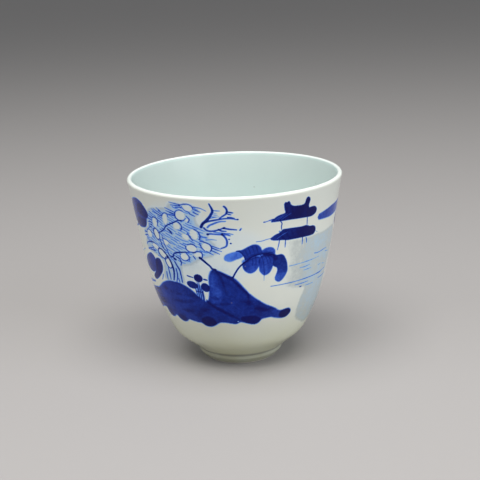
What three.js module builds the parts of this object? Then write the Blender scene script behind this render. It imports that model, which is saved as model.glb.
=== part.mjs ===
// A porcelain teacup without a handle: a round-bottomed bowl that opens towards its lip and stands on a
// turned foot ring, bevelled towards the ground. The clay is made in two pieces, the bowl and the foot ring, which is luted to the
// bowl's flat seat. Three coats of glaze lie on the clay: one poured inside, one dipped outside as far as the
// foot, and one in the well under the bowl. The rim that the cup stands on is wiped bare.
//
// Millimetres, +Z up, the cup's axis on Z, and the ground at Z = 0.
// An outline is a list of spots in the plane of radius (x) and height (y), from the lip's crest downwards.
// Each spot has a point on the glazed surface and the way into the clay, so a deeper layer follows it.

import * as THREE from "three";

// Sizes of the glazed cup
const height = 64;
const rimRadius = 36; // outside of the lip
const lipThickness = 1.6;
const bellyRadius = 26.8; // outside, where the round bottom turns into the wall
const bellyHeight = 19.5;
const bellyThickness = 3;
const floorThickness = 3.4; // from the seat of the foot ring up to the middle of the floor
const footRadius = 14.6; // outside of the foot ring
const footHeight = 3.5;
const bevelHeight = 2.4; // where the foot ring's upright side turns into its bevel
const standRadius = 12.7; // end of the bevel at the ground, before its edge is rounded
const footWidth = 2.4; // wall of the foot ring at the ground
const footRounding = 0.4; // edges of the rim that the cup stands on
const glazeThickness = 0.25;
const bareStrip = 0.2; // bare clay above the rounded edges

// Slopes of the outline, in degrees above level
const rimSlope = 79;
const bellySlope = 66;
const footSlope = 42; // where the bowl leaves the foot ring
const floorSlope = 0;

// How far each end of a curve keeps its slope, as a share of the distance between its ends
const wallPull = 0.26;
const bottomPull = 0.62;
const innerBellyPull = 0.27;
const floorPull = 0.48;

// Fineness of the turned surfaces
const turnSteps = 48;
const lipSteps = 4;
const wallSteps = 7;
const bottomSteps = 6;
const roundingSteps = 3;

// Which side of an outline the clay is on, going down from the lip
const OUTSIDE = 1;
const INSIDE = -1;

const point = (r, z) => new THREE.Vector2(r, z);
const radians = THREE.MathUtils.degToRad;

function heading(degrees) {
  return point(Math.cos(radians(degrees)), Math.sin(radians(degrees)));
}

// The way into the clay from an outline that travels along `way`.
function intoClay(way, side) {
  return point(way.y, -way.x).normalize().multiplyScalar(side);
}

// Spots on a round lip, from one direction to another as seen from its centre.
function lipSpots(centre, radius, fromDegrees, toDegrees) {
  return Array.from({ length: lipSteps + 1 }, (_, i) => {
    const out = heading(fromDegrees + ((toDegrees - fromDegrees) * i) / lipSteps);
    return { at: centre.clone().addScaledVector(out, radius), inward: out.negate() };
  });
}

// Spots on a smooth curve that comes down from one point and slope to another. Its first spot is left out,
// because the outline already has it.
function curveSpots(from, to, side, steps) {
  const reach = from.at.distanceTo(to.at);
  const curve = new THREE.CubicBezierCurve(
    from.at,
    from.at.clone().addScaledVector(heading(from.slope), -from.pull * reach),
    to.at.clone().addScaledVector(heading(to.slope), to.pull * reach),
    to.at,
  );
  return Array.from({ length: steps }, (_, i) => {
    const share = (i + 1) / steps;
    return { at: curve.getPoint(share), inward: intoClay(curve.getTangent(share), side) };
  });
}

// A corner's way into the clay reaches the corner of each deeper layer.
function mitre(first, second) {
  return first.clone().add(second).divideScalar(1 + first.dot(second));
}

// The outline's points at a depth under the glazed surface.
function layer(spots, depth) {
  return spots.map(({ at, inward }) => at.clone().addScaledVector(inward, depth));
}

// The lip, which both faces of the wall share
const lipRadius = lipThickness / 2;
const lipCentre = point(rimRadius - lipRadius, height - lipRadius);
const lipCrest = 90;
const outerLip = lipSpots(lipCentre, lipRadius, lipCrest, rimSlope - 90);
const innerLip = lipSpots(lipCentre, lipRadius, lipCrest, rimSlope + 90);

// The outside, down to the bare rim of the foot ring
const glazeLine = footRounding + bareStrip;
const belly = point(bellyRadius, bellyHeight);
const footCorner = point(footRadius, footHeight);
const bevelRun = footRadius - standRadius;
const bevelLean = Math.atan2(bevelHeight, bevelRun);
const bevelSlope = THREE.MathUtils.radToDeg(bevelLean);
const straightDown = intoClay(point(0, -1), OUTSIDE);
const outerWall = curveSpots(
  { at: outerLip.at(-1).at, slope: rimSlope, pull: wallPull },
  { at: belly, slope: bellySlope, pull: wallPull },
  OUTSIDE,
  wallSteps,
);
const outerBottom = curveSpots(
  { at: belly, slope: bellySlope, pull: bottomPull },
  { at: footCorner, slope: footSlope, pull: bottomPull },
  OUTSIDE,
  bottomSteps,
);
const cornerSpot = outerBottom.at(-1);
cornerSpot.inward = mitre(intoClay(heading(footSlope).negate(), OUTSIDE), straightDown);
const outside = [...outerLip, ...outerWall, ...outerBottom];
const footBend = {
  at: point(footRadius, bevelHeight),
  inward: mitre(straightDown, intoClay(heading(bevelSlope).negate(), OUTSIDE)),
};
const footEdge = {
  at: point(standRadius + (glazeLine * bevelRun) / bevelHeight, glazeLine),
  inward: point(-1 / Math.sin(bevelLean), 0), // the glaze on the foot ends level
};

// The inside, down to the middle of the floor
const innerBelly = belly.clone().addScaledVector(heading(bellySlope + 90), bellyThickness);
const floor = point(0, footHeight + floorThickness);
const innerWall = curveSpots(
  { at: innerLip.at(-1).at, slope: rimSlope, pull: wallPull },
  { at: innerBelly, slope: bellySlope, pull: wallPull },
  INSIDE,
  wallSteps,
);
const innerBottom = curveSpots(
  { at: innerBelly, slope: bellySlope, pull: innerBellyPull },
  { at: floor, slope: floorSlope, pull: floorPull },
  INSIDE,
  bottomSteps,
);
const inside = [...innerLip, ...innerWall, ...innerBottom];

// Where the foot ring meets the bowl, under the glaze
const seat = layer([cornerSpot], glazeThickness)[0];
const [ringBend, ringEdge] = layer([footBend, footEdge], glazeThickness);
const ringInside = standRadius - footWidth;

const glazedWhite = new THREE.MeshStandardMaterial({ color: 0xdcddd2, roughness: 0.15, metalness: 0 });
const glazedPale = new THREE.MeshStandardMaterial({ color: 0xcfe4df, roughness: 0.15, metalness: 0 });
const bareClay = new THREE.MeshStandardMaterial({ color: 0xe3ddd0, roughness: 0.8, metalness: 0 });

// A solid turned about Z from a profile that ends on the axis or closes on itself, clay on its left.
function turned(name, profile, material) {
  const geometry = new THREE.LatheGeometry(profile, turnSteps);
  geometry.rotateX(Math.PI / 2);
  const mesh = new THREE.Mesh(geometry, material);
  mesh.name = name;
  return mesh;
}

function bowl() {
  const outer = layer(outside, glazeThickness).reverse();
  const inner = layer(inside, glazeThickness).slice(1);
  return turned("bowl", [point(0, seat.y), ...outer, ...inner], bareClay);
}

function footRing() {
  const turn = (centreRadius, from, to) =>
    Array.from({ length: roundingSteps + 1 }, (_, i) =>
      point(centreRadius, footRounding).addScaledVector(
        heading(from + ((to - from) * i) / roundingSteps),
        footRounding,
      ),
    );
  // The outer edge is rounded between the ground and the bevel
  const rise = footRounding - ringEdge.y;
  const outerCentre = ringEdge.x + (rise * Math.cos(bevelLean) - footRounding) / Math.sin(bevelLean);
  const profile = [
    point(ringInside, seat.y),
    ...turn(ringInside + footRounding, 180, 270),
    ...turn(outerCentre, 270, 270 + bevelSlope),
    ringEdge,
    ringBend,
    seat,
    point(ringInside, seat.y),
  ];
  return turned("foot_ring", profile, bareClay);
}

function outerGlaze() {
  const spots = [...outside, footBend, footEdge];
  const surface = layer(spots, 0).reverse();
  const clayFace = layer(spots, glazeThickness);
  return turned("outer_glaze", [...surface, ...clayFace, surface[0]], glazedWhite);
}

function innerGlaze() {
  const surface = layer(inside, 0);
  const clayFace = layer(inside, glazeThickness).reverse();
  return turned("inner_glaze", [...clayFace, ...surface], glazedPale);
}

function wellGlaze() {
  const coatRadius = ringInside - glazeThickness;
  const coatHeight = seat.y - glazeThickness;
  const profile = [
    point(0, coatHeight),
    point(coatRadius, coatHeight),
    point(coatRadius, glazeLine),
    point(ringInside, glazeLine),
    point(ringInside, seat.y),
    point(0, seat.y),
  ];
  return turned("well_glaze", profile, glazedWhite);
}

const teacup = new THREE.Group();
teacup.add(bowl(), footRing(), outerGlaze(), innerGlaze(), wellGlaze());

export default teacup;
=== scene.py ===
"""A porcelain teacup without a handle, with a landscape painted in cobalt blue under a clear glaze.

The cup is five pieces, as on the potter's bench: the turned bowl, the foot ring luted under it, the glaze
poured inside, the glaze in the well under the bowl, and the glaze dipped outside, through which the
painting shows. One Geometry Nodes tree makes the turned pieces. The outer glaze is a sheet whose triangles
follow the edges of the brush marks, wrapped round the cup, with the strength of the cobalt at its points.

The cup's own sizes are in millimetres, and they become metres where a mesh is made. Z is up, the ground is
at 0, and the painted side faces -Y. A place on the wall is (across, height): its height above the ground,
and its distance to the right of the front, measured round a cylinder of the painting's reference radius.
"""

import logging
import math
import random
from collections import Counter
from collections.abc import Iterable, Sequence
from dataclasses import dataclass, field
from enum import Enum

import bpy
import numpy as np
from mathutils import Matrix, Vector
from mathutils.geometry import delaunay_2d_cdt


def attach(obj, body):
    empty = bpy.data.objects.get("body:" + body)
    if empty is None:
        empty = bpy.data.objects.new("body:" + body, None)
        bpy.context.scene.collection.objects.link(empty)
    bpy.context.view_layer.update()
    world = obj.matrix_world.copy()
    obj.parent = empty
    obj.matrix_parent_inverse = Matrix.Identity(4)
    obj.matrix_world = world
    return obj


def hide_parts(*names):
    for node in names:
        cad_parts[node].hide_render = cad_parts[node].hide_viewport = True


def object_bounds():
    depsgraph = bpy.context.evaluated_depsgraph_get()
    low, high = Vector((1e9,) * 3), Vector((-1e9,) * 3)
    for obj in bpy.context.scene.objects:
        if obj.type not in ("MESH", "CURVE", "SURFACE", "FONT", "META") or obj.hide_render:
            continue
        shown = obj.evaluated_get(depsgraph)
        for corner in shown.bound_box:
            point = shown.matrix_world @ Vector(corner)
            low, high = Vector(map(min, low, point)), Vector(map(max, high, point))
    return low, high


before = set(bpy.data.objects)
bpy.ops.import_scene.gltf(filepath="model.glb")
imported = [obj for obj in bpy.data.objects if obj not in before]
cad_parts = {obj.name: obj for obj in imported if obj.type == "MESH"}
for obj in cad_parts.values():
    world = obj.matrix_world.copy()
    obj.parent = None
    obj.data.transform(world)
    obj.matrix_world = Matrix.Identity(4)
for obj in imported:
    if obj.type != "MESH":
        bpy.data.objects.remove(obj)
CAD_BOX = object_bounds()

LOG = logging.getLogger("teacup")
MM = 0.001
BODY = "root"

Array = np.ndarray
Point = tuple[float, float]
Spread = float | tuple[float, ...]
Colour = tuple[float, float, float]
Thing = bpy.types.Object
Mesh = bpy.types.Mesh
Material = bpy.types.Material
Tree = bpy.types.NodeTree
Node = bpy.types.Node
Socket = bpy.types.NodeSocket


# The cup's outline ------------------------------------------------------------------------------------------


def heading(degrees: float) -> Array:
    """Unit vector at an angle above level, in the plane of radius and height."""
    return np.array([math.cos(math.radians(degrees)), math.sin(math.radians(degrees))])


def normals_of(points: Array) -> Array:
    """Unit normals of a line of points, on the right of its way.

    Args:
        points: the line's points, one per row.

    Returns:
        One unit normal per point.
    """
    along = np.gradient(points, axis=0)
    out = np.stack([along[:, 1], -along[:, 0]], axis=1)
    return out / np.linalg.norm(out, axis=1, keepdims=True)


@dataclass(frozen=True)
class CupOutline:
    """The turned shape of the glazed cup, the same as in its solid model. Sizes are in millimetres, slopes in
    degrees above level, and a pull is how far a curve's end keeps its slope, as a share of its reach."""

    height: float
    rim_radius: float
    lip_thickness: float = 1.6
    belly_radius: float = 26.8
    belly_height: float = 19.5
    belly_thickness: float = 3.0
    floor_thickness: float = 3.4
    foot_radius: float = 14.6
    foot_height: float = 3.5
    bevel_height: float = 2.4
    stand_radius: float = 12.7
    foot_width: float = 2.4
    foot_rounding: float = 0.4
    glaze: float = 0.25
    bare_strip: float = 0.2
    rim_slope: float = 79.0
    belly_slope: float = 66.0
    foot_slope: float = 42.0
    wall_pull: float = 0.26
    bottom_pull: float = 0.62
    inner_belly_pull: float = 0.27
    floor_pull: float = 0.48
    lip_step: float = 4.0
    pooled_radius: float = 0.45
    bend_radius: float = 0.6

    @property
    def lip_centre(self) -> Array:
        """Centre of the round lip."""
        radius = self.lip_thickness / 2
        return np.array([self.rim_radius - radius, self.height - radius])

    @property
    def belly(self) -> Array:
        """Where the wall turns into the round bottom, outside."""
        return np.array([self.belly_radius, self.belly_height])

    @property
    def glaze_line(self) -> float:
        """Height at which the glaze ends on the foot."""
        return self.foot_rounding + self.bare_strip

    @property
    def ring_outside(self) -> float:
        """Outer radius of the foot ring's clay."""
        return self.foot_radius - self.glaze

    @property
    def ring_inside(self) -> float:
        """Inner radius of the foot ring's clay."""
        return self.stand_radius - self.foot_width

    @property
    def seat(self) -> float:
        """Height of the flat seat on which the foot ring is luted."""
        half_turn = math.tan(math.radians(90 - self.foot_slope) / 2)
        return self.foot_height + self.glaze * half_turn

    @property
    def bevel_slope(self) -> float:
        """Slope of the foot's bevel, in degrees above level."""
        return math.degrees(math.atan2(self.bevel_height, self.foot_radius - self.stand_radius))

    @property
    def clay_bend(self) -> Array:
        """Where the foot ring's clay turns from its upright side into its bevel.

        Returns:
            Radius and height of the bend.
        """
        lean = math.radians(self.bevel_slope)
        rise = self.glaze * math.cos(lean) / (1 + math.sin(lean))
        return np.array([self.ring_outside, self.bevel_height + rise])

    @property
    def clay_edge(self) -> Array:
        """Where the glaze ends on the clay of the bevel.

        Returns:
            Radius and height of the end of the glaze.
        """
        lean = math.radians(self.bevel_slope)
        radius = self.stand_radius + (self.glaze_line / math.tan(lean)) - self.glaze / math.sin(lean)
        return np.array([radius, self.glaze_line])

    def lip(self, start: float, end: float) -> Array:
        """Points on the round lip between two directions, in degrees, as seen from its centre.

        Args:
            start: the first direction, in degrees above level.
            end: the last direction.

        Returns:
            The points, a few degrees apart.
        """
        steps = max(2, round(abs(end - start) / self.lip_step))
        angles = np.linspace(start, end, steps + 1)
        return np.array([self.lip_centre + heading(a) * self.lip_thickness / 2 for a in angles])

    @staticmethod
    def curve(start: tuple, end: tuple, step: float) -> Array:
        """Smooth curve down from one (point, slope, pull) to another.

        Args:
            start: the upper end's point, its slope in degrees, and how far it keeps that slope.
            end: the lower end's, likewise.
            step: distance between the curve's points.

        Returns:
            The curve's points, without the first.
        """
        (a, slope_a, pull_a), (b, slope_b, pull_b) = start, end
        reach = float(np.linalg.norm(b - a))
        near, far = a - heading(slope_a) * pull_a * reach, b + heading(slope_b) * pull_b * reach
        t = np.linspace(0, 1, round(reach / step) + 1)[1:, None]
        return (1 - t) ** 3 * a + 3 * (1 - t) ** 2 * t * near + 3 * (1 - t) * t * t * far + t**3 * b

    def outside(self, step: float = 1.0) -> Array:
        """The outer face, from the lip's crest down to the corner where the bowl meets the foot.

        Args:
            step: distance between the points below the lip.

        Returns:
            Radius and height of the points.
        """
        lip = self.lip(90, self.rim_slope - 90)
        corner = np.array([self.foot_radius, self.foot_height])
        wall = self.curve(
            (lip[-1], self.rim_slope, self.wall_pull), (self.belly, self.belly_slope, self.wall_pull), step
        )
        bottom = self.curve(
            (self.belly, self.belly_slope, self.bottom_pull), (corner, self.foot_slope, self.bottom_pull),
            step,
        )
        return np.concatenate([lip, wall, bottom])

    def inside(self, step: float = 1.0) -> Array:
        """The inner face, from the lip's crest down to the middle of the floor.

        Args:
            step: distance between the points below the lip.

        Returns:
            Radius and height of the points.
        """
        lip = self.lip(90, self.rim_slope + 90)
        belly = self.belly + heading(self.belly_slope + 90) * self.belly_thickness
        floor = np.array([0.0, self.foot_height + self.floor_thickness])
        wall = self.curve(
            (lip[-1], self.rim_slope, self.wall_pull), (belly, self.belly_slope, self.wall_pull), step
        )
        bottom = self.curve(
            (belly, self.belly_slope, self.inner_belly_pull), (floor, 0.0, self.floor_pull), step
        )
        return np.concatenate([lip, wall, bottom])

    def glazed_foot(self, steps: int = 6) -> tuple[Array, Array]:
        """The glaze's face on the foot: its rounded end, the bevel, the upright side, and the pooled fillet.

        Args:
            steps: steps in each of its rounded parts.

        Returns:
            Points from the end of the glaze up to the bowl, and their normals.
        """
        lean = self.bevel_slope
        turn, reach = math.radians(90 - lean) / 2, math.radians(90 - self.foot_slope) / 2
        bend = np.array([self.foot_radius - self.bend_radius,
                         self.bevel_height + self.bend_radius * math.tan(turn)])
        fillet = np.array([self.foot_radius + self.pooled_radius,
                           self.foot_height - self.pooled_radius * math.tan(reach)])
        rounds = (
            (self.clay_edge + heading(lean) * self.glaze, self.glaze, lean + 180, lean + 270, 1),
            (bend, self.bend_radius, lean - 90, 0, 1),
            (fillet, self.pooled_radius, 180, self.foot_slope + 90, -1),
        )
        points, normals = [], []
        for centre, radius, start, end, side in rounds:
            for angle in np.linspace(start, end, steps + 1):
                points.append(centre + heading(angle) * radius)
                normals.append(heading(angle) * side)
        return np.array(points), np.array(normals)


@dataclass(frozen=True)
class HandOfThePotter:
    """How far the fired cup strays from a true round: a slightly oval mouth that fades towards the foot."""

    oval: float = 0.0035
    turn: float = 0.6

    def stretch(self, angle: Array, share: Array) -> Array:
        """Factor on the radius at an angle about the axis, and a share of the cup's height."""
        return 1 + self.oval * share**2 * np.cos(2 * (angle - self.turn))


# Brush marks ------------------------------------------------------------------------------------------------


BRUSH = 1.42  # how much wider a loaded brush draws than the widths given to stroke()
CAP_TURNS = (-55, 0, 55)  # the points round a line's end, in degrees from its way
OVAL_STEP = 30  # degrees between an oval's points
SLACK = 0.01  # how far round a mark the places that it may reach are looked for
TINY = 1e-12  # stands for a length that would be nothing


class Ink(Enum):
    """What a mark does to the pigment that lies under it."""

    LAY = "lay"
    LIFT = "lift"


def between(first: Array, last: Array, low: float, high: float, at: Array) -> Array:
    """Places on the straight way from first, which is met at low, to last, which is met at high."""
    return ((high - at) * first + (at - low) * last) / (high - low)


def smooth_line(points: Sequence[Point], step: float, closed: bool = False) -> tuple[Array, Array]:
    """A smooth line through given points.

    Args:
        points: the points, in order.
        step: distance between the line's samples.
        closed: whether the line runs on from its last point to its first.

    Returns:
        The samples, and for each the number of points passed, with its fraction.
    """
    p = np.array(points, float)
    if closed:
        p = np.concatenate([p[-1:], p, p[:2]])
    else:
        p = np.concatenate([2 * p[:1] - p[1:2], p, 2 * p[-1:] - p[-2:-1]])
    samples, passed = [], []
    for i in range(1, len(p) - 2):
        a, b, c, d = p[i - 1 : i + 3]
        pairs = ((a, b), (b, c), (c, d))
        gaps = [max(np.linalg.norm(y - x), 1e-6) ** 0.5 for x, y in pairs]
        knots = np.concatenate([[0], np.cumsum(gaps)])
        count = max(1, round(float(np.linalg.norm(c - b)) / step))
        share = np.arange(count) / count
        t = (knots[1] + (knots[2] - knots[1]) * share)[:, None]
        ab, bc, cd = (between(x, y, *knots[k : k + 2], t) for k, (x, y) in enumerate(pairs))
        first, last = between(ab, bc, knots[0], knots[2], t), between(bc, cd, knots[1], knots[3], t)
        samples.append(between(first, last, *knots[1:3], t))
        passed.append(i - 1 + share)
    if not closed:
        samples.append(p[-2:-1])
        passed.append(np.array([len(p) - 3.0]))
    return np.concatenate(samples), np.concatenate(passed)


def nearest_on(at: Array, starts: Array, ends: Array) -> tuple[Array, Array]:
    """Distance from each place to each straight stretch, and where along the stretch it is met.

    Args:
        at: the places, one per row.
        starts: the stretches' first points.
        ends: the stretches' last points.

    Returns:
        Distances and shares, each with a row per place and a column per stretch.
    """
    along = ends - starts
    length = np.maximum((along**2).sum(1), TINY)
    share = np.clip(((at[:, None, :] - starts[None]) * along[None]).sum(2) / length, 0, 1)
    gap = at[:, None, :] - (starts[None] + share[..., None] * along[None])
    return np.sqrt((gap**2).sum(2)), share


@dataclass(frozen=True)
class Mark:
    """One touch of the brush. Its edge fades over the width given by soft, on both sides of its outline."""

    shade: tuple[float, ...] = (0.8,)
    soft: float = 0.1
    ink: Ink = Ink.LAY

    def rings(self) -> list[Array]:
        """Closed lines that the sheet's triangles follow."""
        raise NotImplementedError

    def cover(self, at: Array) -> Array:
        """How strongly the mark covers each place, from 0 to 1."""
        raise NotImplementedError

    def apply(self, places: Array, pigment: Array) -> None:
        """Adds this mark to the pigment at the places it reaches.

        Args:
            places: the places, one per row.
            pigment: the strength of the pigment at each, which is changed.
        """
        reach = np.concatenate(self.rings())
        low, high = reach.min(0) - SLACK, reach.max(0) + SLACK
        near = np.flatnonzero(((places >= low) & (places <= high)).all(1))
        if not len(near):
            return
        cover = self.cover(places[near])
        if self.ink is Ink.LAY:
            pigment[near] = 1 - (1 - pigment[near]) * (1 - cover)
        else:
            pigment[near] *= 1 - cover

    def fade(self, outside: Array) -> Array:
        """Turns a distance outside the outline into a share of the full shade."""
        share = np.clip(0.5 - outside / (2 * self.soft), 0, 1)
        return share * share * (3 - 2 * share)


@dataclass(frozen=True)
class Line(Mark):
    """A drawn line, whose width and shade change evenly from one to the next of those given."""

    points: tuple[Point, ...] = ()
    width: tuple[float, ...] = (0.3,)
    step: float = 0.4
    core: float = 0.05

    def spine(self) -> tuple[Array, Array, Array]:
        """The line's samples, with its half width and its shade at each.

        Returns:
            The samples, half widths and shades.
        """
        samples, passed = smooth_line(self.points, self.step)
        share = passed / passed[-1]
        widths = np.interp(share, np.linspace(0, 1, len(self.width)), self.width)
        shades = np.interp(share, np.linspace(0, 1, len(self.shade)), self.shade)
        return samples, widths / 2, shades

    def rings(self) -> list[Array]:
        """The outlines of the line's full shade, where it is wide enough, and of its faded edge.

        Returns:
            The two outlines.
        """
        samples, half, _ = self.spine()
        side = normals_of(samples)
        found = []
        for grown in (-self.soft, self.soft):
            out = np.maximum(half + grown, self.core)[:, None]
            caps = []
            for end, sign in ((-1, 1), (0, -1)):
                along = sign * np.array([-side[end, 1], side[end, 0]])
                turns = np.radians(CAP_TURNS)
                cross = sign * side[end]
                fan = np.cos(turns)[:, None] * along - np.sin(turns)[:, None] * cross
                caps.append(samples[end] + out[end] * fan)
            there, back = samples + side * out, (samples - side * out)[::-1]
            found.append(np.concatenate([there, caps[0], back, caps[1]]))
        return found

    def cover(self, at: Array) -> Array:
        """How strongly the line covers each place.

        Args:
            at: the places, one per row.

        Returns:
            The mark's strength at each place.
        """
        samples, half, shades = self.spine()
        gap, share = nearest_on(at, samples[:-1], samples[1:])
        outside = gap - (half[:-1] + share * (half[1:] - half[:-1]))
        best = outside.argmin(1)
        rows = np.arange(len(at))
        shade = shades[best] + share[rows, best] * (shades[best + 1] - shades[best])
        return self.fade(outside[rows, best]) * shade


@dataclass(frozen=True)
class Patch(Mark):
    """A filled shape with a smooth outline. Its shade may change evenly from one place to another."""

    points: tuple[Point, ...] = ()
    flow: tuple[Point, Point] = ((0.0, 0.0), (1.0, 0.0))
    step: float = 0.6

    def outline(self) -> Array:
        """The shape's outline, anticlockwise.

        Returns:
            The outline's points.
        """
        samples, _ = smooth_line(self.points, self.step, closed=True)
        x, y = samples.T
        area = (x * np.roll(y, -1) - np.roll(x, -1) * y).sum()
        return samples if area > 0 else samples[::-1]

    def rings(self) -> list[Array]:
        """The outlines of the full shade and of the faded edge.

        Returns:
            The two outlines.
        """
        line = self.outline()
        along = np.roll(line, -1, 0) - np.roll(line, 1, 0)
        out = np.stack([along[:, 1], -along[:, 0]], 1) / np.linalg.norm(along, axis=1, keepdims=True)
        return [line + out * self.soft, line - out * self.soft]

    def cover(self, at: Array) -> Array:
        """How strongly the shape covers each place.

        Args:
            at: the places, one per row.

        Returns:
            The mark's strength at each place.
        """
        line = self.outline()
        start, end = line, np.roll(line, -1, 0)
        gap, _ = nearest_on(at, start, end)
        x, y = at[:, :1], at[:, 1:]
        crosses = (start[:, 1] > y) != (end[:, 1] > y)
        rise = np.where(end[:, 1] == start[:, 1], TINY, end[:, 1] - start[:, 1])
        left = x < start[:, 0] + (y - start[:, 1]) * (end[:, 0] - start[:, 0]) / rise
        inside = (crosses & left).sum(1) % 2 == 1
        distance = gap.min(1)
        (ax, ay), (bx, by) = self.flow
        along = np.array([bx - ax, by - ay])
        share = np.clip((at - np.array([ax, ay])) @ along / (along @ along), 0, 1)
        shade = np.interp(share, np.linspace(0, 1, len(self.shade)), self.shade)
        return self.fade(np.where(inside, -distance, distance)) * shade


def oval(centre: Point, across: float, high: float, turn: float = 0.0, start: float = 0,
         end: float = 360) -> tuple[Point, ...]:
    """Points on an oval, or on a part of it.

    Args:
        centre: the oval's centre.
        across: half its width, before it is turned.
        high: half its height, before it is turned.
        turn: degrees by which it is turned anticlockwise.
        start: where the part begins, in degrees anticlockwise from its right.
        end: where it ends.

    Returns:
        The points. A whole oval doesn't repeat its first.
    """
    count = max(3, round(abs(end - start) / OVAL_STEP))
    whole = abs(end - start) >= 360
    c, s = math.cos(math.radians(turn)), math.sin(math.radians(turn))
    found = []
    for i in range(count if whole else count + 1):
        a = math.radians(start + (end - start) * i / count)
        x, y = across * math.cos(a), high * math.sin(a)
        found.append((centre[0] + c * x - s * y, centre[1] + s * x + c * y))
    return tuple(found)


def way(*numbers: float) -> tuple[Point, ...]:
    """Pairs up across, height, across, height and so on."""
    return tuple(zip(numbers[::2], numbers[1::2]))


def stroke(points: Sequence[Point], width: Spread = 0.28, shade: Spread = 0.6, soft: float = 0.13,
           ink: Ink = Ink.LAY) -> Line:
    """A brush line.

    Args:
        points: the given points along it.
        width: its width, or widths spread evenly along it.
        shade: its strength of pigment, or strengths spread evenly along it.
        soft: how far its edges bleed.
        ink: whether it lays pigment or lifts it.

    Returns:
        The mark.
    """
    spread = width if isinstance(width, tuple) else (width * 0.75, width, width * 0.7)
    widths = tuple(w * BRUSH for w in spread)
    shades = shade if isinstance(shade, tuple) else (shade,)
    return Line(shade=shades, soft=soft, ink=ink, points=tuple(points), width=widths)


def patch(points: Sequence[Point], shade: Spread = 0.8, soft: float = 0.2,
          flow: tuple[Point, Point] = ((0.0, 0.0), (1.0, 0.0)), ink: Ink = Ink.LAY) -> Patch:
    """A filled brush mark.

    Args:
        points: the given points round it.
        shade: its strength of pigment, or strengths spread evenly from one place of flow to the other.
        soft: how far its edges bleed.
        flow: the two places between which the shade changes.
        ink: whether it lays pigment or lifts it.

    Returns:
        The mark.
    """
    shades = shade if isinstance(shade, tuple) else (shade,)
    return Patch(shade=shades, soft=soft, ink=ink, points=tuple(points), flow=flow)


@dataclass(frozen=True)
class Pavilion:
    """Two stacked roofs on thin posts at the right, standing over the water."""

    def marks(self) -> Iterable[Mark]:
        """The pavilion's marks, in the order of painting.

        Returns:
            The marks.
        """
        upper = way(9.3, 55.2, 10, 55.9, 11, 56.7, 12, 57.1, 13.4, 57.5, 13.2, 58.4, 13, 59.6, 12.9, 60.4,
            13.2, 61, 13.8, 60.9, 14.3, 61.2, 14.7, 60.7, 14.9, 60.1, 15.6, 59.5, 16.5, 59.2, 18, 59.1,
            19.2, 59.1, 19.6, 59.6, 19.8, 60.6, 20.1, 61.2, 20.6, 61.4, 21.2, 61, 21.5, 60.3, 21.3, 59.2,
            21.1, 58.2, 21.3, 57.7, 22.3, 57.7, 23.2, 57.7, 24.1, 57.2, 24.6, 56.3, 24.4, 55.3, 23.6, 54.7,
            22.4, 54.4, 21, 54.5, 18, 54.7, 15, 54.9, 12, 54.9, 10.2, 54.9, 9.5, 54.9)
        lower = way(9.3, 49.5, 10, 50.2, 11, 50.8, 12, 51.1, 12.6, 51.8, 13, 52.1, 15, 52.1, 17, 52,
            19, 51.8, 21.2, 51.8, 22.3, 51.2, 23.6, 51.1, 24.6, 50.6, 25.1, 49.8, 25.1, 48.8, 24.4, 48,
            22.8, 47.9, 20, 48, 17, 48.1, 14.5, 48.2, 13, 48.5, 11.5, 48.6, 10.2, 48.8, 9.5, 49.1)
        yield patch(upper, (0.86, 0.96, 1.0), 0.16, ((11, 56), (19, 57)))
        yield patch(lower, (0.86, 0.94, 1.0), 0.16, ((10, 50), (20, 50)))
        for x in (13.6, 15.4, 17.1, 18.9, 20.7):
            yield stroke(way(x, 59.0, x + 0.5, 57.2, x + 1.5, 55.4), 0.5, 0.6, 0.2)
            yield stroke(way(x - 1.6, 51.6, x - 1.0, 50.2, x - 0.2, 48.9), 0.45, 0.5, 0.2)
        for x, y in ((10.6, 55.5), (11.4, 55.5), (12.4, 55.4)):
            yield stroke(way(x, y, x + 1.2, y + 0.8, x + 2.8, y + 1.6), (0.12, 0.2, 0.1), 0.24, 0.14,
                ink=Ink.LIFT)
        yield stroke(way(11.4, 49.3, 13, 50.3, 14.6, 51), (0.12, 0.2, 0.1), 0.3, 0.12, ink=Ink.LIFT)
        yield stroke(way(10, 55.9, 8.8, 55.6, 7.8, 55.3, 7.4, 55.3), (0.34, 0.2, 0.3), (0.8, 0.6, 0.85), 0.1)
        yield stroke(way(9.6, 49.6, 8.5, 49.5, 7, 49.1, 5.3, 49), 0.2, (0.6, 0.5, 0.55), 0.1)
        yield stroke(way(25.2, 48.8, 26.3, 48.2), 0.15, 0.4, 0.1)
        for post in (way(12.2, 54.8, 12.6, 54.2, 12.5, 53, 12.6, 52.1), way(21, 54.4, 21.1, 53.2, 21.2, 52)):
            yield stroke(post, 0.24, 0.78, 0.1)
        for stilt in (way(12.1, 48.6, 11.9, 47, 11.6, 45.4), way(14, 48.4, 14, 47, 14, 45.9),
                way(19.9, 48, 20, 46.8, 20, 45.6), way(21.3, 47.6, 21.6, 46.8, 21.7, 45.8)):
            yield stroke(stilt, 0.26, (0.7, 0.62, 0.5), 0.1)


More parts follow.
